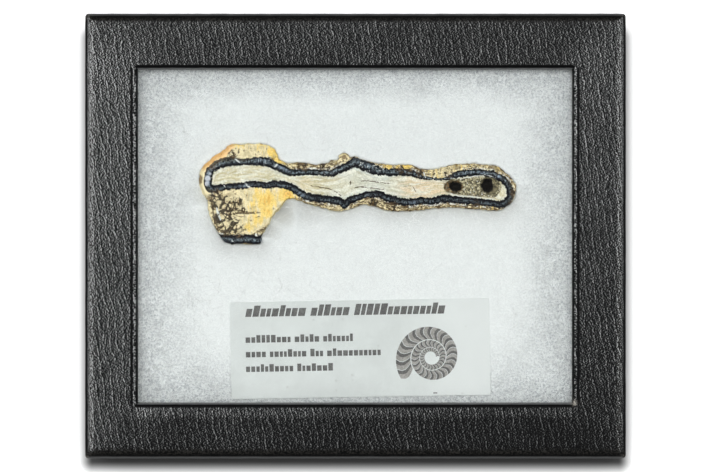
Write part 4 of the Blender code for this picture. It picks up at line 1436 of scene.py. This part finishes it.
@dataclass
class ToothSlice:
    """The slice: a dense polished face, a rough natural side and a plain sawn back."""

    top_z: float
    bottom_z: float
    face_cell: float = 0.17
    rim_cell: float = 0.2
    back_cell: float = 0.9
    pulp_depth: float = 0.33
    flare_depth: float = 2.2
    flare_bulge: float = 0.7
    side_profile: tuple = ((0.0, 0.0), (1.0, 0.02), (2.2, 0.3), (4.0, 0.3), (6.0, 0.1))
    side_levels: int = 16
    edge_drop: float = 0.14
    fragment_run: float = 300.0
    outline: Array = field(init=False)
    loop: Array = field(init=False)
    upper_length: float = field(init=False)
    fragment: Array = field(init=False)
    pulp: Array = field(init=False)

    def __post_init__(self) -> None:
        """Samples the curves that the face is laid out by."""
        edge = LEFT_END + CEMENT_LUMP + UPPER_EDGE + FAR_END + LOWER_EDGE + ROOT_BLOCK
        self.outline = smooth_curve(edge, self.rim_cell)
        self.outline[:, :2] += outward(self.outline) * self.ripple(self.outline)[:, None]
        self.loop = smooth_curve(ENAMEL_UPPER + ENAMEL_LOWER, 0.5)
        start = np.array([ENAMEL_LOWER[0][:2]])
        self.upper_length = float(nearest_on(start, self.loop, True)[1][0])
        self.fragment = smooth_curve(ENAMEL_FRAGMENT, 0.5, closed=False)
        self.pulp = smooth_curve(PULP_OUTLINE, 0.4)

    @staticmethod
    def ripple(line: Array) -> Array:
        """The small unevenness of the broken edge."""
        return noise_at(line[:, :2], 1.1, 2) * 0.22 + noise_at(line[:, :2], 0.5, 4) * 0.13

    def spread(self, points: Array, depth: float) -> Array:
        """How far the side stands out from the face's outline at a depth below the face."""
        depths, spreads = zip(*self.side_profile)
        out = min(1.0, depth / self.flare_depth) ** self.flare_bulge
        flare = np.zeros(len(points))
        for (x, y), reach, amount in FLARES:
            flare += amount * bell(np.hypot(points[:, 0] - x, points[:, 1] - y), reach)
        return np.interp(depth, depths, spreads) + flare * out

    def side_ring(self, depth: float) -> Array:
        """The outline of the rough natural side at a depth below the face."""
        rim = self.outline[:, :2]
        normals = outward(rim)
        ring = rim + normals * self.spread(rim, depth)[:, None]
        solid = np.column_stack([ring, np.full(len(ring), self.top_z - depth)])
        lump = noise_at(solid, 1.5, 41) * 0.24 + noise_at(solid, 0.55, 43) * 0.12
        return ring + normals * (lump * ease(depth, 0.2, 2.4) + 0.05 * lump)[:, None]

    def tissues(self, points: Array) -> dict[str, Array]:
        """Works out where each tissue lies.

        Args:
            points: Rows of x and y on the face.

        Returns:
            The named numbers that the material reads, in millimetres or from 0 to 1.
        """
        away, run, half = nearest_on(points, self.loop, True)
        within = np.where(is_inside(points, self.loop), away, -away)
        across = -within / half[:, 0]
        enamel_edge = away - half[:, 0]
        far, far_run, far_half = nearest_on(points, self.fragment, False)
        middle = np.interp(points[:, 0], self.fragment[:, 0], self.fragment[:, 1])
        on_fragment = far - far_half[:, 0] < enamel_edge
        enamel_edge = np.where(on_fragment, far - far_half[:, 0], enamel_edge)
        across = np.where(on_fragment, (middle - points[:, 1]) / far_half[:, 0], across)
        run = np.where(on_fragment, far_run + self.fragment_run, run)
        values = {
            "within": within,
            "across": across,
            "run": run,
            "enamel_edge": enamel_edge,
            "rim": depth_inside(points, self.outline),
            "pulp": depth_inside(points, self.pulp),
            "flare": flare_field(points, 1.6),
            "lower": ease(run, self.upper_length, self.upper_length + 3.0) * ~on_fragment,
        }
        values |= {key: patch_field(points, patches) for key, patches in PATCHES.items()}
        bend = 0.22 * np.column_stack([noise_at(points, 0.9, seed) for seed in (71, 73)])
        uneven = 0.1 * noise_at(points, 0.5, 8)
        for kind, cracks in CRACKS.items():
            strongest = np.full(len(points), -3.0)
            for width, through in cracks:
                line = smooth_curve(through, 0.3, closed=False)
                away, along, _ = nearest_on(points + bend, line, False)
                taper = 0.3 + 0.9 * np.sin(np.pi * along / max(along.max(), 1e-6))
                strongest = np.maximum(strongest, 1.0 - (away + uneven) / (width / 2 * taper + 0.1))
            values[kind.value] = strongest
        return values

    def face_depth(self, points: Array, values: dict[str, Array]) -> Array:
        """How far the polished face lies below its highest level, at each point."""
        rim, pulp = values["rim"], values["pulp"]
        rough = noise_at(points, 0.5, 11)
        depth = 0.03 * ease(values["enamel_edge"], -0.1, 0.2)
        depth += (0.03 + 0.04 * rough) * ease(values["within"], 0.1, -0.1) * ease(rim, 0.0, 0.5)
        depth += self.edge_drop * ease(rim, 0.4, 0.0)
        depth += (self.pulp_depth + 0.14 * rough) * ease(pulp, -0.1, 0.25)
        depth += 0.14 * ease(values["dark_crack"], 0.0, 0.7)
        decay = values["rot"] + 0.9 * noise_at(points, 1.0, 21)
        depth += 0.7 * ease(decay, 0.95, 1.35) * ease(rim, 0.0, 0.6)
        for (x, y), half_x, half_y, hollow, lean in SOCKETS:
            uneven = 0.14 * noise_at(points, 0.9, 31) + 0.12 * noise_at(points, 0.4, 33)
            reach = np.hypot((points[:, 0] - x) / half_x, (points[:, 1] - y) / half_y) + uneven
            deep = np.hypot((points[:, 0] - x - lean) / half_x, (points[:, 1] - y - 0.2) / half_y) + uneven
            depth += 1.1 * ease(reach, 1.05, 0.8) + (hollow * 0.92 - 1.1) * ease(deep, 0.85, 0.4)
        return depth

    def build(self, fossil: Material) -> Object:
        """Builds the slice.

        Args:
            fossil: The material that paints all its tissues.

        Returns:
            The finished piece.
        """
        rim = self.outline[:, :2]
        count = len(rim)
        points = np.concatenate([rim, fill_points(rim, self.face_cell, self.face_cell * 0.6)])
        face, face_faces = triangulate(points, [count])
        values = self.tissues(face)
        depth = self.face_depth(face, values)
        values["depth"] = depth
        shell = Shell([np.column_stack([face, self.top_z - depth])], [face_faces], [values])
        below = np.arange(count)
        for level in range(1, self.side_levels + 1):
            down = (self.top_z - self.bottom_z) * (level / self.side_levels) ** 1.25
            ring = self.side_ring(down)
            z = self.top_z - down if level < self.side_levels else self.bottom_z
            values = self.deep_tissues(ring) | {"rim": np.full(count, -down)}
            below = shell.ring(below, ring, z, values)
        shell.cap(below, self.back_cell, self.deep_tissues)
        piece = shell.piece("fossil_slice", fossil)
        finish_piece(piece, "tooth_slice")
        return piece

    def deep_tissues(self, points: Array) -> dict[str, Array]:
        """The tissues at places away from the face, where no socket is cut."""
        return self.tissues(points) | {"depth": np.zeros(len(points))}


# ---- The batting and its loose fibres ----


@dataclass
class Batting:
    """The filling: a soft pad that the glass holds flat in the middle, and lofty at its edges."""

    low: Vector
    high: Vector
    tooth: ToothSlice
    card_centre: Pair
    card_size: Pair
    card_tilt: float
    cell: float = 0.6
    corner_radius: float = 3.0
    hug_depth: float = 0.45
    rim_depth: float = 1.2
    tooth_gap: float = 0.0
    dip: float = 0.36
    dip_reach: float = 3.0
    window_half: Pair = (53.3, 40.9)

    def card_distance(self, points: Array) -> Array:
        """Distance outside the card's edge, negative under the card."""
        turn = -math.radians(self.card_tilt)
        away = points - np.array(self.card_centre)
        x = away[:, 0] * math.cos(turn) - away[:, 1] * math.sin(turn)
        y = away[:, 0] * math.sin(turn) + away[:, 1] * math.cos(turn)
        return np.maximum(np.abs(x) - self.card_size[0] / 2, np.abs(y) - self.card_size[1] / 2)

    def loft(self, points: Array) -> Array:
        """0 where the glass presses the fibre flat, 1 by the loose edges, more in the corners."""
        from_x, from_y = (half - np.abs(points[:, i]) for i, half in enumerate(self.window_half))
        upper_middle = ease(points[:, 1], 5.0, 15.0) * ease(np.abs(points[:, 0]), 46.0, 28.0)
        from_y = from_y * (1.0 + 0.7 * upper_middle)
        ragged = np.minimum(from_x, from_y) + 3.0 * noise_at(points, 9.0, 51)
        return ease(ragged, 17.0, 1.0) + 0.4 * ease(from_x, 13.0, 1.0) * ease(from_y, 11.0, 1.0)

    def pressed(self, points: Array, rim: Array) -> Array:
        """How dark the painted shadow on the fibre is, from 0 to 1: most along the near side of the tooth,
        with painted shade in the hollows.
        """
        away, _, nearest = nearest_on(points, np.column_stack([rim, rim]), True)
        beyond = (nearest[:, 1] - points[:, 1]) / np.maximum(away, 0.05)
        along = 0.72 * np.exp(-away / 2.4) * ease(beyond, -0.3, 0.6)
        return np.minimum(along + 0.2 * patch_field(points, HOLLOWS), 0.9)

    def height(self, points: Array, rim: Array) -> Array:
        """Height of the batting's top.

        Args:
            points: Rows of x and y.
            rim: The edge of the pocket that the tooth lies in.

        Returns:
            Heights in millimetres.
        """
        top = self.high.z / MM
        from_tooth = nearest_on(points, rim, True)[0]
        flare = flare_field(points, 1.8, 1.3)
        dip = self.dip * (1.0 + np.minimum(flare, 1.5) + 1.6 * ease(points[:, 1], 13.0, 9.0))
        dip = dip * bell(from_tooth, self.dip_reach) + patch_field(points, HOLLOWS)
        half_x, half_y = self.high.x / MM, self.high.y / MM
        from_wall = np.minimum(half_x - np.abs(points[:, 0]), half_y - np.abs(points[:, 1]))
        loft = self.loft(points)
        lumps = noise_at(points, 6.0, 53) * 0.12 + noise_at(points, 2.2, 55) * 0.14
        lumps += noise_at(points, 1.1, 57) * 0.26
        z = top + 0.15 - dip - 0.9 * ease(from_wall, 2.5, 0.0) - 0.35 * loft
        z += lumps * (0.05 + 0.42 * loft)
        z = np.minimum(z, top + 0.26)
        card = self.card_distance(points)
        bed = top - 0.1
        return np.where(card < 0.6, np.minimum(z, bed + (z - bed) * ease(card, -0.5, 0.0)), z)

    def build(self, fibre: Material) -> Object:
        """Builds the pad.

        Args:
            fibre: The material of the fibre mass.

        Returns:
            The pad, not yet finished, so that fibres can be grown on it.
        """
        half_x, half_y = self.high.x / MM, self.high.y / MM
        cells = (round(2 * half_x / self.cell), round(2 * half_y / self.cell), 8)
        edge = Ring(half_x, half_y, 0.0, self.corner_radius).corners(*cells)[:, :2]
        edge = edge[np.hypot(*(edge - np.roll(edge, 1, axis=0)).T) > 1e-6]
        near, low = (self.tooth.side_ring(depth)[::2] for depth in (self.hug_depth, self.rim_depth))
        flared = ease(flare_field(near, 1.0), 0.05, 0.4)
        around = near + (low - near) * flared[:, None]
        rim = around + outward(around) * self.tooth_gap
        fill = fill_points(edge, self.cell, self.cell * 0.5)
        from_rim = depth_inside(fill, rim)
        fill = fill[from_rim < -self.cell * 0.5]
        points, faces = triangulate(np.concatenate([edge, rim, fill]), [len(edge), len(rim)])
        middles = points[faces].mean(axis=1)
        faces = faces[~is_inside(middles, rim)]
        z = self.height(points, rim)
        fluff = np.where(self.card_distance(points) < -2.5, 0.0, 0.4 + 0.6 * self.loft(points))
        for i, half in enumerate(self.window_half):
            fluff *= ease(np.abs(points[:, i]), half + 5, half + 3)
        marks = {"fluff": fluff, "loft": self.loft(points), "pressed": self.pressed(points, rim)}
        shell = Shell([np.column_stack([points, z])], [faces], [marks])

        def beneath(points: Array) -> dict[str, Array]:
            """The marks of fibre that isn't on top, where nothing grows and no shadow is painted."""
            none = np.zeros(len(points))
            return {"fluff": none, "loft": none + 1.0, "pressed": none}

        def sink(first: int, ring: Array, levels: list[Pair], step: float) -> None:
            """Carries a ring down through (height, inset) levels and closes it with a cap."""
            normals = outward(ring)
            below = first + np.arange(len(ring))
            for level, inset in levels:
                soft = noise_at(np.column_stack([ring, np.full(len(ring), level)]), 2.2, 61) * 0.12
                moved = ring + normals * (inset + soft * (inset > 0))[:, None]
                below = shell.ring(below, moved, level, beneath(ring))
            shell.cap(below, step, beneath)

        bottom, floor_z = self.low.z / MM, self.tooth.bottom_z - 0.3
        rim_z = float(z[len(edge) : len(edge) + len(rim)].min())
        sink(0, edge, [(bottom + 9.0, 0.0), (bottom + 4.0, 0.0), (bottom, 0.0)], 4.0)
        sink(len(edge), rim, [(rim_z - 0.8, 0.6), (rim_z - 2.5, 0.7), (floor_z, 0.5)], 2.5)
        return shell.piece("batting_pad", fibre)


class FibreInput(Enum):
    """The named inputs of the tree that grows fibres."""

    DENSITY = "Density"
    LENGTH = "Length"
    CURL = "Curl"
    RADIUS = "Radius"
    LIFT = "Lift"
    LOWEST = "Lowest"
    SEED = "Seed"


@dataclass
class LooseFibres:
    """Curly fibres on top of the batting, grown by Geometry Nodes."""

    name: str
    seed: int
    density: float = 0.27
    length: float = 10.0
    curl: float = 4.2
    radius: float = 0.024
    lift: float = 0.26
    lowest: float = 12.6
    points: int = 11
    sides: int = 3
    sockets: dict[FibreInput, str] = field(default_factory=dict)

    def tree(self, fibre: Material) -> bpy.types.NodeTree:
        """Builds the node tree.

        Args:
            fibre: The fibres' material.

        Returns:
            The tree, whose inputs' identifiers are kept in sockets.
        """
        tree = bpy.data.node_groups.new(f"{self.name} growth", "GeometryNodeTree")
        tree.interface.new_socket("Geometry", in_out="INPUT", socket_type="NodeSocketGeometry")
        for item in FibreInput:
            kind = "NodeSocketInt" if item is FibreInput.SEED else "NodeSocketFloat"
            made = tree.interface.new_socket(item.value, in_out="INPUT", socket_type=kind)
            self.sockets[item] = made.identifier
        tree.interface.new_socket("Geometry", in_out="OUTPUT", socket_type="NodeSocketGeometry")
        g = Graph(tree)
        given = g.add("NodeGroupInput")
        pad, seed, length = given["Geometry"], given["Seed"], given["Length"]

        scatter = g.add("GeometryNodeDistributePointsOnFaces", distribute_method="RANDOM")
        scatter.take(Mesh=pad, Density=self.named(g, "fluff") * given["Density"], Seed=seed)
        line = g.add("GeometryNodeCurvePrimitiveLine")
        line.take(Start=g.join(length * -0.5, 0.0), End=g.join(length * 0.5, 0.0))
        strand = g.add("GeometryNodeResampleCurve", mode="COUNT").take(Curve=line[0], Count=self.points)

        turn = self.random(g, seed, 0.0, 2 * math.pi, 1)
        size = g.join(self.random(g, seed, 0.55, 1.4, 2), 1.0, 1.0)
        spread = g.add("GeometryNodeInstanceOnPoints").take(Points=scatter["Points"], Instance=strand[0])
        spread.take(Rotation=g.join(0.0, 0.0, turn), Scale=size)
        whim = g.add("GeometryNodeStoreNamedAttribute", data_type="FLOAT", domain="INSTANCE")
        whim.take(Geometry=spread[0], Name="whim", Value=self.random(g, seed, 0.0, 60.0, 3))
        loose = g.add("GeometryNodeRealizeInstances").take(whim[0])

        laid = self.laid(g, self.curled(g, loose[0], given["Curl"]), pad, given)
        ring = g.add("GeometryNodeCurvePrimitiveCircle")
        ring.take(Resolution=self.sides, Radius=given["Radius"])
        tube = g.add("GeometryNodeCurveToMesh")
        tube.take(Curve=laid, Profile_Curve=ring[0], Fill_Caps=True)
        real = g.add("GeometryNodeRealizeInstances").take(tube[0])
        dress = g.add("GeometryNodeSetMaterial").take(Geometry=real[0], Material=fibre)
        g.add("NodeGroupOutput").take(dress[0])
        return tree

    @staticmethod
    def named(g: Graph, name: str) -> Value:
        """A named number of the mesh, in a geometry tree."""
        return g.add("GeometryNodeInputNamedAttribute", data_type="FLOAT").take(Name=name)[0]

    @staticmethod
    def random(g: Graph, seed: Value, low: float, high: float, stream: int) -> Value:
        """A random number for each point. The stream keeps one use apart from another."""
        made = g.add("FunctionNodeRandomValue", data_type="FLOAT").take(Seed=seed * 10.0 + float(stream))
        floats = [s for s in made.node.inputs if s.type == "VALUE"]
        floats[0].default_value, floats[1].default_value = low, high
        return Value(g, next(s for s in made.node.outputs if s.type == "VALUE"))

    def curled(self, g: Graph, strands: Value, curl: Value) -> Value:
        """Bends the strands sideways by noise that differs from one to the next."""
        swirl = g.add("ShaderNodeTexNoise", noise_dimensions="4D")
        here = g.add("GeometryNodeInputPosition")[0]
        swirl.take(Vector=here, W=self.named(g, "whim"), Scale=0.24 / MM, Detail=1.5)
        push = g.scale(g.vector("SUBTRACT", swirl[1], MIDDLE), curl * 2.0)
        bend = g.add("GeometryNodeSetPosition")
        return bend.take(Geometry=strands, Offset=g.vector("MULTIPLY", push, (1.0, 1.0, 0.0)))[0]

    def laid(self, g: Graph, strands: Value, pad: Value, given: Step) -> Value:
        """Drops the strands onto the pad, and takes away those that would cross the tooth."""
        here = g.add("GeometryNodeInputPosition")[0]
        drop = g.add("GeometryNodeRaycast").take(
            Target_Geometry=pad,
            Attribute=self.named(g, "loft"),
            Source_Position=g.vector("ADD", here, (0.0, 0.0, 0.03)),
            Ray_Direction=(0.0, 0.0, -1.0),
            Ray_Length=0.1,
        )
        level = g.split(drop["Hit Position"])[2]
        keep = g.math("GREATER_THAN", level, given["Lowest"]) * drop["Is Hit"]
        whole = g.add("GeometryNodeFieldOnDomain", data_type="FLOAT", domain="CURVE").take(keep)
        prune = g.add("GeometryNodeDeleteGeometry", domain="CURVE")
        prune.take(Geometry=strands, Selection=g.math("LESS_THAN", whole[0], 0.999))
        wave = g.add("ShaderNodeTexNoise").take(Vector=here, Scale=0.5 / MM)[0]
        rise = g.span(wave, 0.3, 0.7) * given["Lift"] * (drop["Attribute"] * 0.8 + 0.2)
        x, y, _ = g.split(here)
        settle = g.add("GeometryNodeSetPosition")
        return settle.take(Geometry=prune[0], Position=g.join(x, y, level + rise))[0]

    def grow(self, pad: Object, fibre: Material) -> Object:
        """Grows the fibres on a pad and makes them a plain mesh.

        Args:
            pad: The batting.
            fibre: The fibres' material.

        Returns:
            The finished piece.
        """
        grower = put_in_scene(f"{self.name}_grower", pad.data)
        modifier = grower.modifiers.new("growth", "NODES")
        modifier.node_group = self.tree(fibre)
        # Each input takes the field of its own name: a length, unless its unit is given here.
        units = {FibreInput.DENSITY: MM**-2, FibreInput.SEED: 1}
        for item in FibreInput:
            size = getattr(self, item.name.lower())
            modifier[self.sockets[item]] = size * units.get(item, MM)
        evaluated = grower.evaluated_get(bpy.context.evaluated_depsgraph_get())
        mesh = bpy.data.meshes.new_from_object(evaluated)
        mesh.name = self.name
        bpy.data.objects.remove(grower)
        mesh.shade_smooth()
        piece = put_in_scene(self.name, mesh)
        finish_piece(piece)
        return piece


# ---- The card ----


@dataclass
class SpecimenCard:
    """A printed card: rows of plain blocks in place of words, and a drawing of a coiled shell."""

    centre: Pair
    size: Pair
    tilt: float
    top_z: float
    thickness: float = 0.22
    corner_radius: float = 0.3
    cell: float = 1.1
    wave: float = 0.05
    seed: int = 7
    heading_y: float = 9.3
    heading_height: float = 2.0
    row_ys: tuple[float, ...] = (2.6, -1.0, -4.6)
    row_height: float = 1.35
    left: float = -28.3
    heading_words: tuple[int, ...] = (9, 6, 14)
    row_words: tuple[tuple[int, ...], ...] = ((9, 5, 7), (4, 8, 3, 11), (10, 7))
    spiral_centre: Pair = (17.4, -2.4)
    spiral_radius: float = 9.2
    dash: tuple[float, ...] = (17.8, -11.4, 1.0, 0.26)

    def block(self, x: float, y: float, width: float, height: float, slant: float) -> Array:
        """A small upright block, leaning by a share of its height."""
        lean = slant * height
        return np.array([(x, y), (x + width, y), (x + width + lean, y + height), (x + lean, y + height)])

    def row(self, words: tuple[int, ...], y: float, height: float, slant: float, gap: float) -> list:
        """One row of blocks, set like words but with no letters in them.

        Args:
            words: How many blocks each word has.
            y: The row's foot.
            height: Height of a low block.
            slant: Lean of the blocks.
            gap: Space between blocks.

        Returns:
            The blocks' outlines.
        """
        outlines = []
        x = self.left
        for blocks in words:
            for _ in range(blocks):
                width = height * self.random.uniform(0.5, 0.86)
                tall = height * (1.38 if self.random.random() < 0.3 else 1.0)
                outlines.append(self.block(x, y, width, tall, slant))
                x += width + gap
            x += height * 0.55
        return outlines

    def spiral(self) -> tuple[list[Array], list[Array]]:
        """A ribbed coiled shell, as (dark ribs, grey whorl pieces between them)."""
        ribs, whorls = [], []
        turns, per_turn, growth = 2.6, 22, 0.36
        cx, cy = self.spiral_centre

        def edge(angle: float, share: float) -> Pair:
            """A point on the whorl, at a share of the way from its inner to its outer side."""
            back = angle / math.pi - turns * 2
            outer = self.spiral_radius * math.exp(growth * 0.8 * back)
            inner = outer * math.exp(-growth * 1.6) * 1.04
            radius = inner + (outer - inner) * share
            sweep_back = angle + 0.16 * math.sin(share * math.pi * 0.9)
            return (cx + radius * math.cos(sweep_back), cy + radius * math.sin(sweep_back))

        step = 2 * math.pi / per_turn
        shares = np.linspace(0.0, 1.0, 5)
        for i in range(int(turns * per_turn)):
            start = i * step
            for low, high, kept in ((0.0, 0.42, ribs), (0.42, 0.94, whorls)):
                first = [edge(start + step * low, s) for s in shares]
                last = [edge(start + step * high, s) for s in shares[::-1]]
                kept.append(np.array(first + last))
        return ribs, whorls

    def build(self, *materials: Material) -> Object:
        """Builds the card with its print as faces of its top.

        Args:
            materials: Those of the card, of the dark print and of the grey print.

        Returns:
            The finished piece.
        """
        self.random = np.random.default_rng(self.seed)
        dark = self.row(self.heading_words, self.heading_y - 1.0, self.heading_height, 0.22, 0.3)
        light = []
        for words, y in zip(self.row_words, self.row_ys):
            light += self.row(words, y - 0.7, self.row_height, 0.0, 0.28)
        ribs, whorls = self.spiral()
        light.append(self.block(*self.dash, 0.0))
        inked = [(shape, 1) for shape in dark + light + ribs]
        inked += [(shape, 2) for shape in whorls]
        half_x, half_y = self.size[0] / 2, self.size[1] / 2
        edge = Ring(half_x, half_y, 0.0, self.corner_radius).corners(40, 16, 3)[:, :2]
        fill = fill_points(edge[::-1], self.cell, self.cell * 0.5)
        for shape, _ in inked:
            low, high = shape.min(0) - 0.4, shape.max(0) + 0.4
            near = ((fill > low) & (fill < high)).all(axis=1)
            fill = fill[~near]
        loops = [edge] + [shape for shape, _ in inked]
        points, faces = triangulate(np.concatenate(loops + [fill]), [len(loop) for loop in loops])
        middles = points[faces].mean(axis=1)
        slots = np.zeros(len(faces), int)
        for shape, slot in inked:
            low, high = shape.min(0), shape.max(0)
            near = np.flatnonzero(((middles > low) & (middles < high)).all(axis=1))
            slots[near[is_inside(middles[near], shape)]] = slot
        corners, faces, slots = self.thickened(points, faces, slots, len(edge))
        piece = new_piece("printed_card", corners, faces, list(materials), None, slots)
        tidy_mesh(piece, sharp_deg=40)
        finish_piece(piece, "label_card")
        return piece

    def thickened(
        self, points: Array, faces: Array, slots: Array, edge_count: int
    ) -> tuple[Array, Array, Array]:
        """Gives the flat sheet its thickness and its gentle waves, and lays it in place.

        Args:
            points: Rows of x and y, those of the sheet's edge first.
            faces: The triangles' corners.
            slots: Which material each triangle takes.
            edge_count: How many points the edge has.

        Returns:
            The card's corners, faces and slots.
        """
        count = len(points)
        wave = self.wave * (noise_at(points, 9.0, 71) * 0.7 + noise_at(points, 4.0, 73) * 0.3)
        top = np.column_stack([points, self.top_z - self.wave + np.clip(wave, -self.wave, self.wave)])
        bottom = top - np.array([0.0, 0.0, self.thickness])
        rim = np.arange(edge_count)
        ahead = np.roll(rim, -1)
        sides = np.column_stack([rim, ahead, ahead + count, rim, ahead + count, rim + count])
        sides = np.concatenate([sides[:, :3], sides[:, 3:]])
        corners = np.concatenate([top, bottom])
        turn = math.radians(self.tilt)
        spin = np.array([[math.cos(turn), math.sin(turn)], [-math.sin(turn), math.cos(turn)]])
        corners[:, :2] = corners[:, :2] @ spin + np.array(self.centre)
        below = np.zeros(len(faces) + len(sides), int)
        faces = np.concatenate([faces, faces[:, ::-1] + count, sides])
        return corners, faces, np.concatenate([slots, below])


# ---- The studio ----


@dataclass(frozen=True)
class SoftBox:
    """A rectangular lamp that faces the middle of the case."""

    name: str
    place: Triple
    size: Pair
    watts: float
    colour: Colour = (1.0, 1.0, 1.0)
    mirrored: bool = True


@dataclass(frozen=True)
class FloorFinish(Finish):
    """A pale surface, over-exposed to the eye except in a narrow shade round the case."""

    case_half: Pair
    pale: Colour = (0.78, 0.79, 0.79)
    shade: Colour = (0.055, 0.055, 0.055)
    bounce: Colour = (0.1, 0.1, 0.1)
    white: Colour = (1.0, 1.0, 1.0)
    glow: float = 0.6
    roughness: float = 0.8

    def paint(self, g: Graph, shader: Step) -> None:
        """Paints a narrow shadow round the case and brightens the floor away from it, both for the camera
        alone.
        """
        half_x, half_y = self.case_half
        away = g.vector("ABSOLUTE", g.vector("ADD", g.here, (0.0, 3.5, 0.0)))
        away = g.vector("SUBTRACT", away, (half_x - 0.2, half_y - 1.5, 0.0))
        away = g.vector("MULTIPLY", g.vector("MAXIMUM", away, (0.0, 0.0, 0.0)), (1.0, 1.0, 0.0))
        far = g.add("ShaderNodeVectorMath", operation="LENGTH").take(away)["Value"]
        # Painted shadow: darkest at the case's edge and widest along its near (-Y) side.
        clear = g.math("POWER", g.span(far, 0.0, 4.8), 1.1)
        seen = g.add("ShaderNodeLightPath")["Is Camera Ray"]
        shader.take(
            Base_Color=g.mix(seen, self.bounce, g.mix(clear, self.shade, self.pale)),
            Emission_Strength=clear * seen * self.glow,
            Emission_Color=self.white,
            Roughness=self.roughness,
        )


@dataclass
class Studio:
    """The pale floor, the lamps and the camera straight above the case."""

    target_z: float
    case_half: Pair
    view_width: float = 173.75
    view_distance: float = 600.0
    view_centre: Pair = (-0.37, 0.0)
    sensor: float = 36.0
    floor_size: float = 1600.0
    floor_gap: float = 0.05
    sky: float = 0.07
    sky_colour: Colour = (0.97, 0.99, 1.0)
    lamps: tuple[SoftBox, ...] = (
        SoftBox("lamp_left", (-500.0, 60.0, 700.0), (760.0, 800.0), 1.4),
        SoftBox("lamp_right", (500.0, 30.0, 700.0), (720.0, 800.0), 1.3),
        SoftBox("lamp_far", (0.0, 430.0, 700.0), (700.0, 500.0), 1.1),
        SoftBox("lamp_over", (0.0, 20.0, 800.0), (420.0, 360.0), 2.7, mirrored=False),
        SoftBox("lamp_near", (0.0, -430.0, 520.0), (900.0, 420.0), 1.0, mirrored=False),
        SoftBox("lamp_high_left", (-290.0, 150.0, 600.0), (200.0, 260.0), 0.9),
        SoftBox("lamp_high_right", (275.0, 200.0, 600.0), (160.0, 160.0), 0.3),
    )

    def build(self) -> None:
        """Makes the floor, the lamps, the sky and the camera."""
        scene = bpy.context.scene
        self.floor()
        for lamp in self.lamps:
            light = bpy.data.lights.new(lamp.name, "AREA")
            light.shape = "RECTANGLE"
            light.size, light.size_y = (side * MM for side in lamp.size)
            light.energy = lamp.watts
            light.color = lamp.colour
            holder = put_in_scene(lamp.name, light)
            holder.location = Vector(lamp.place) * MM
            towards = Vector((0.0, 0.0, self.target_z * MM)) - holder.location
            holder.rotation_euler = towards.to_track_quat("-Z", "Y").to_euler()
            holder.visible_glossy = holder.visible_transmission = lamp.mirrored
        world = bpy.data.worlds.new("studio")
        world.use_nodes = True
        sky = world.node_tree.nodes["Background"]
        Step(Graph(world.node_tree), sky).take(self.sky_colour, self.sky)
        scene.world = world
        scene.view_settings.view_transform = "Standard"
        self.camera()

    def floor(self) -> None:
        """Makes the pale surface that the case lies on."""
        half = self.floor_size / 2
        corners = [(-half, -half), (half, -half), (half, half), (-half, half)]
        corners = [(x, y, -self.floor_gap) for x, y in corners]
        pale = FloorFinish(self.case_half).build("pale_floor")
        new_piece("floor", corners, [(0, 1, 2, 3)], [pale])

    def camera(self) -> None:
        """Hangs the camera over the case."""
        data = bpy.data.cameras.new("camera")
        data.sensor_width = self.sensor
        data.lens = self.sensor * self.view_distance / self.view_width
        camera = put_in_scene("camera", data)
        camera.location = Vector((*self.view_centre, self.target_z + self.view_distance)) * MM
        bpy.context.scene.camera = camera


def main() -> None:
    """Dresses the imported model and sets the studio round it."""
    logging.basicConfig(level=logging.INFO, format="%(name)s %(message)s")
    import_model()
    for make_group in (leather_grain, fine_mottle, speckle):
        make_group()

    lid_low, lid_high = (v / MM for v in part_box("case_lid"))
    lid = CaseLid((lid_high.x * 2, lid_high.y * 2), lid_low.z, lid_high.z)
    lid.build(LeatherPaperFinish().build("lid_leather_paper"))

    tray_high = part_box("case_base")[1] / MM
    tray = CaseTray((tray_high.x * 2, tray_high.y * 2), tray_high.z)
    tray.build(LeatherPaperFinish(wrinkle_share=0.4, pebble_share=1.1).build("tray_leather_paper"))

    GlassPane(*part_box("glass_pane")).build(GlassFinish().build("window_glass"))

    tooth_low, tooth_high = (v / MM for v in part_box("tooth_slice"))
    tooth = ToothSlice(tooth_high.z, tooth_low.z)
    tooth.build(FossilFinish().build("fossil_tissues"))

    card_low, card_high = (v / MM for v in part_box("label_card"))
    card_middle = (card_low + card_high) / 2
    card = SpecimenCard((card_middle.x, card_middle.y), size=(64.0, 23.9), tilt=1.0, top_z=card_high.z)
    card.build(
        CardFinish().build("white_card"),
        InkFinish().build("dark_print"),
        InkFinish(base=(0.2, 0.195, 0.18), thin=(0.36, 0.35, 0.33), patchiness=0.6).build("grey_print"),
    )

    batting = Batting(*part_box("batting"), tooth, card.centre, card.size, card.tilt)
    pad = batting.build(BattingFinish().build("fibre_mass"))
    strands = FibreFinish().build("loose_fibre")
    for number in (1, 2, 3):
        LooseFibres(f"batting_fibres_{number}", seed=number).grow(pad, strands)
    finish_piece(pad, "batting")

    Studio(lid_high.z, (lid_high.x, lid_high.y)).build()


if __name__ == "__main__":
    main()
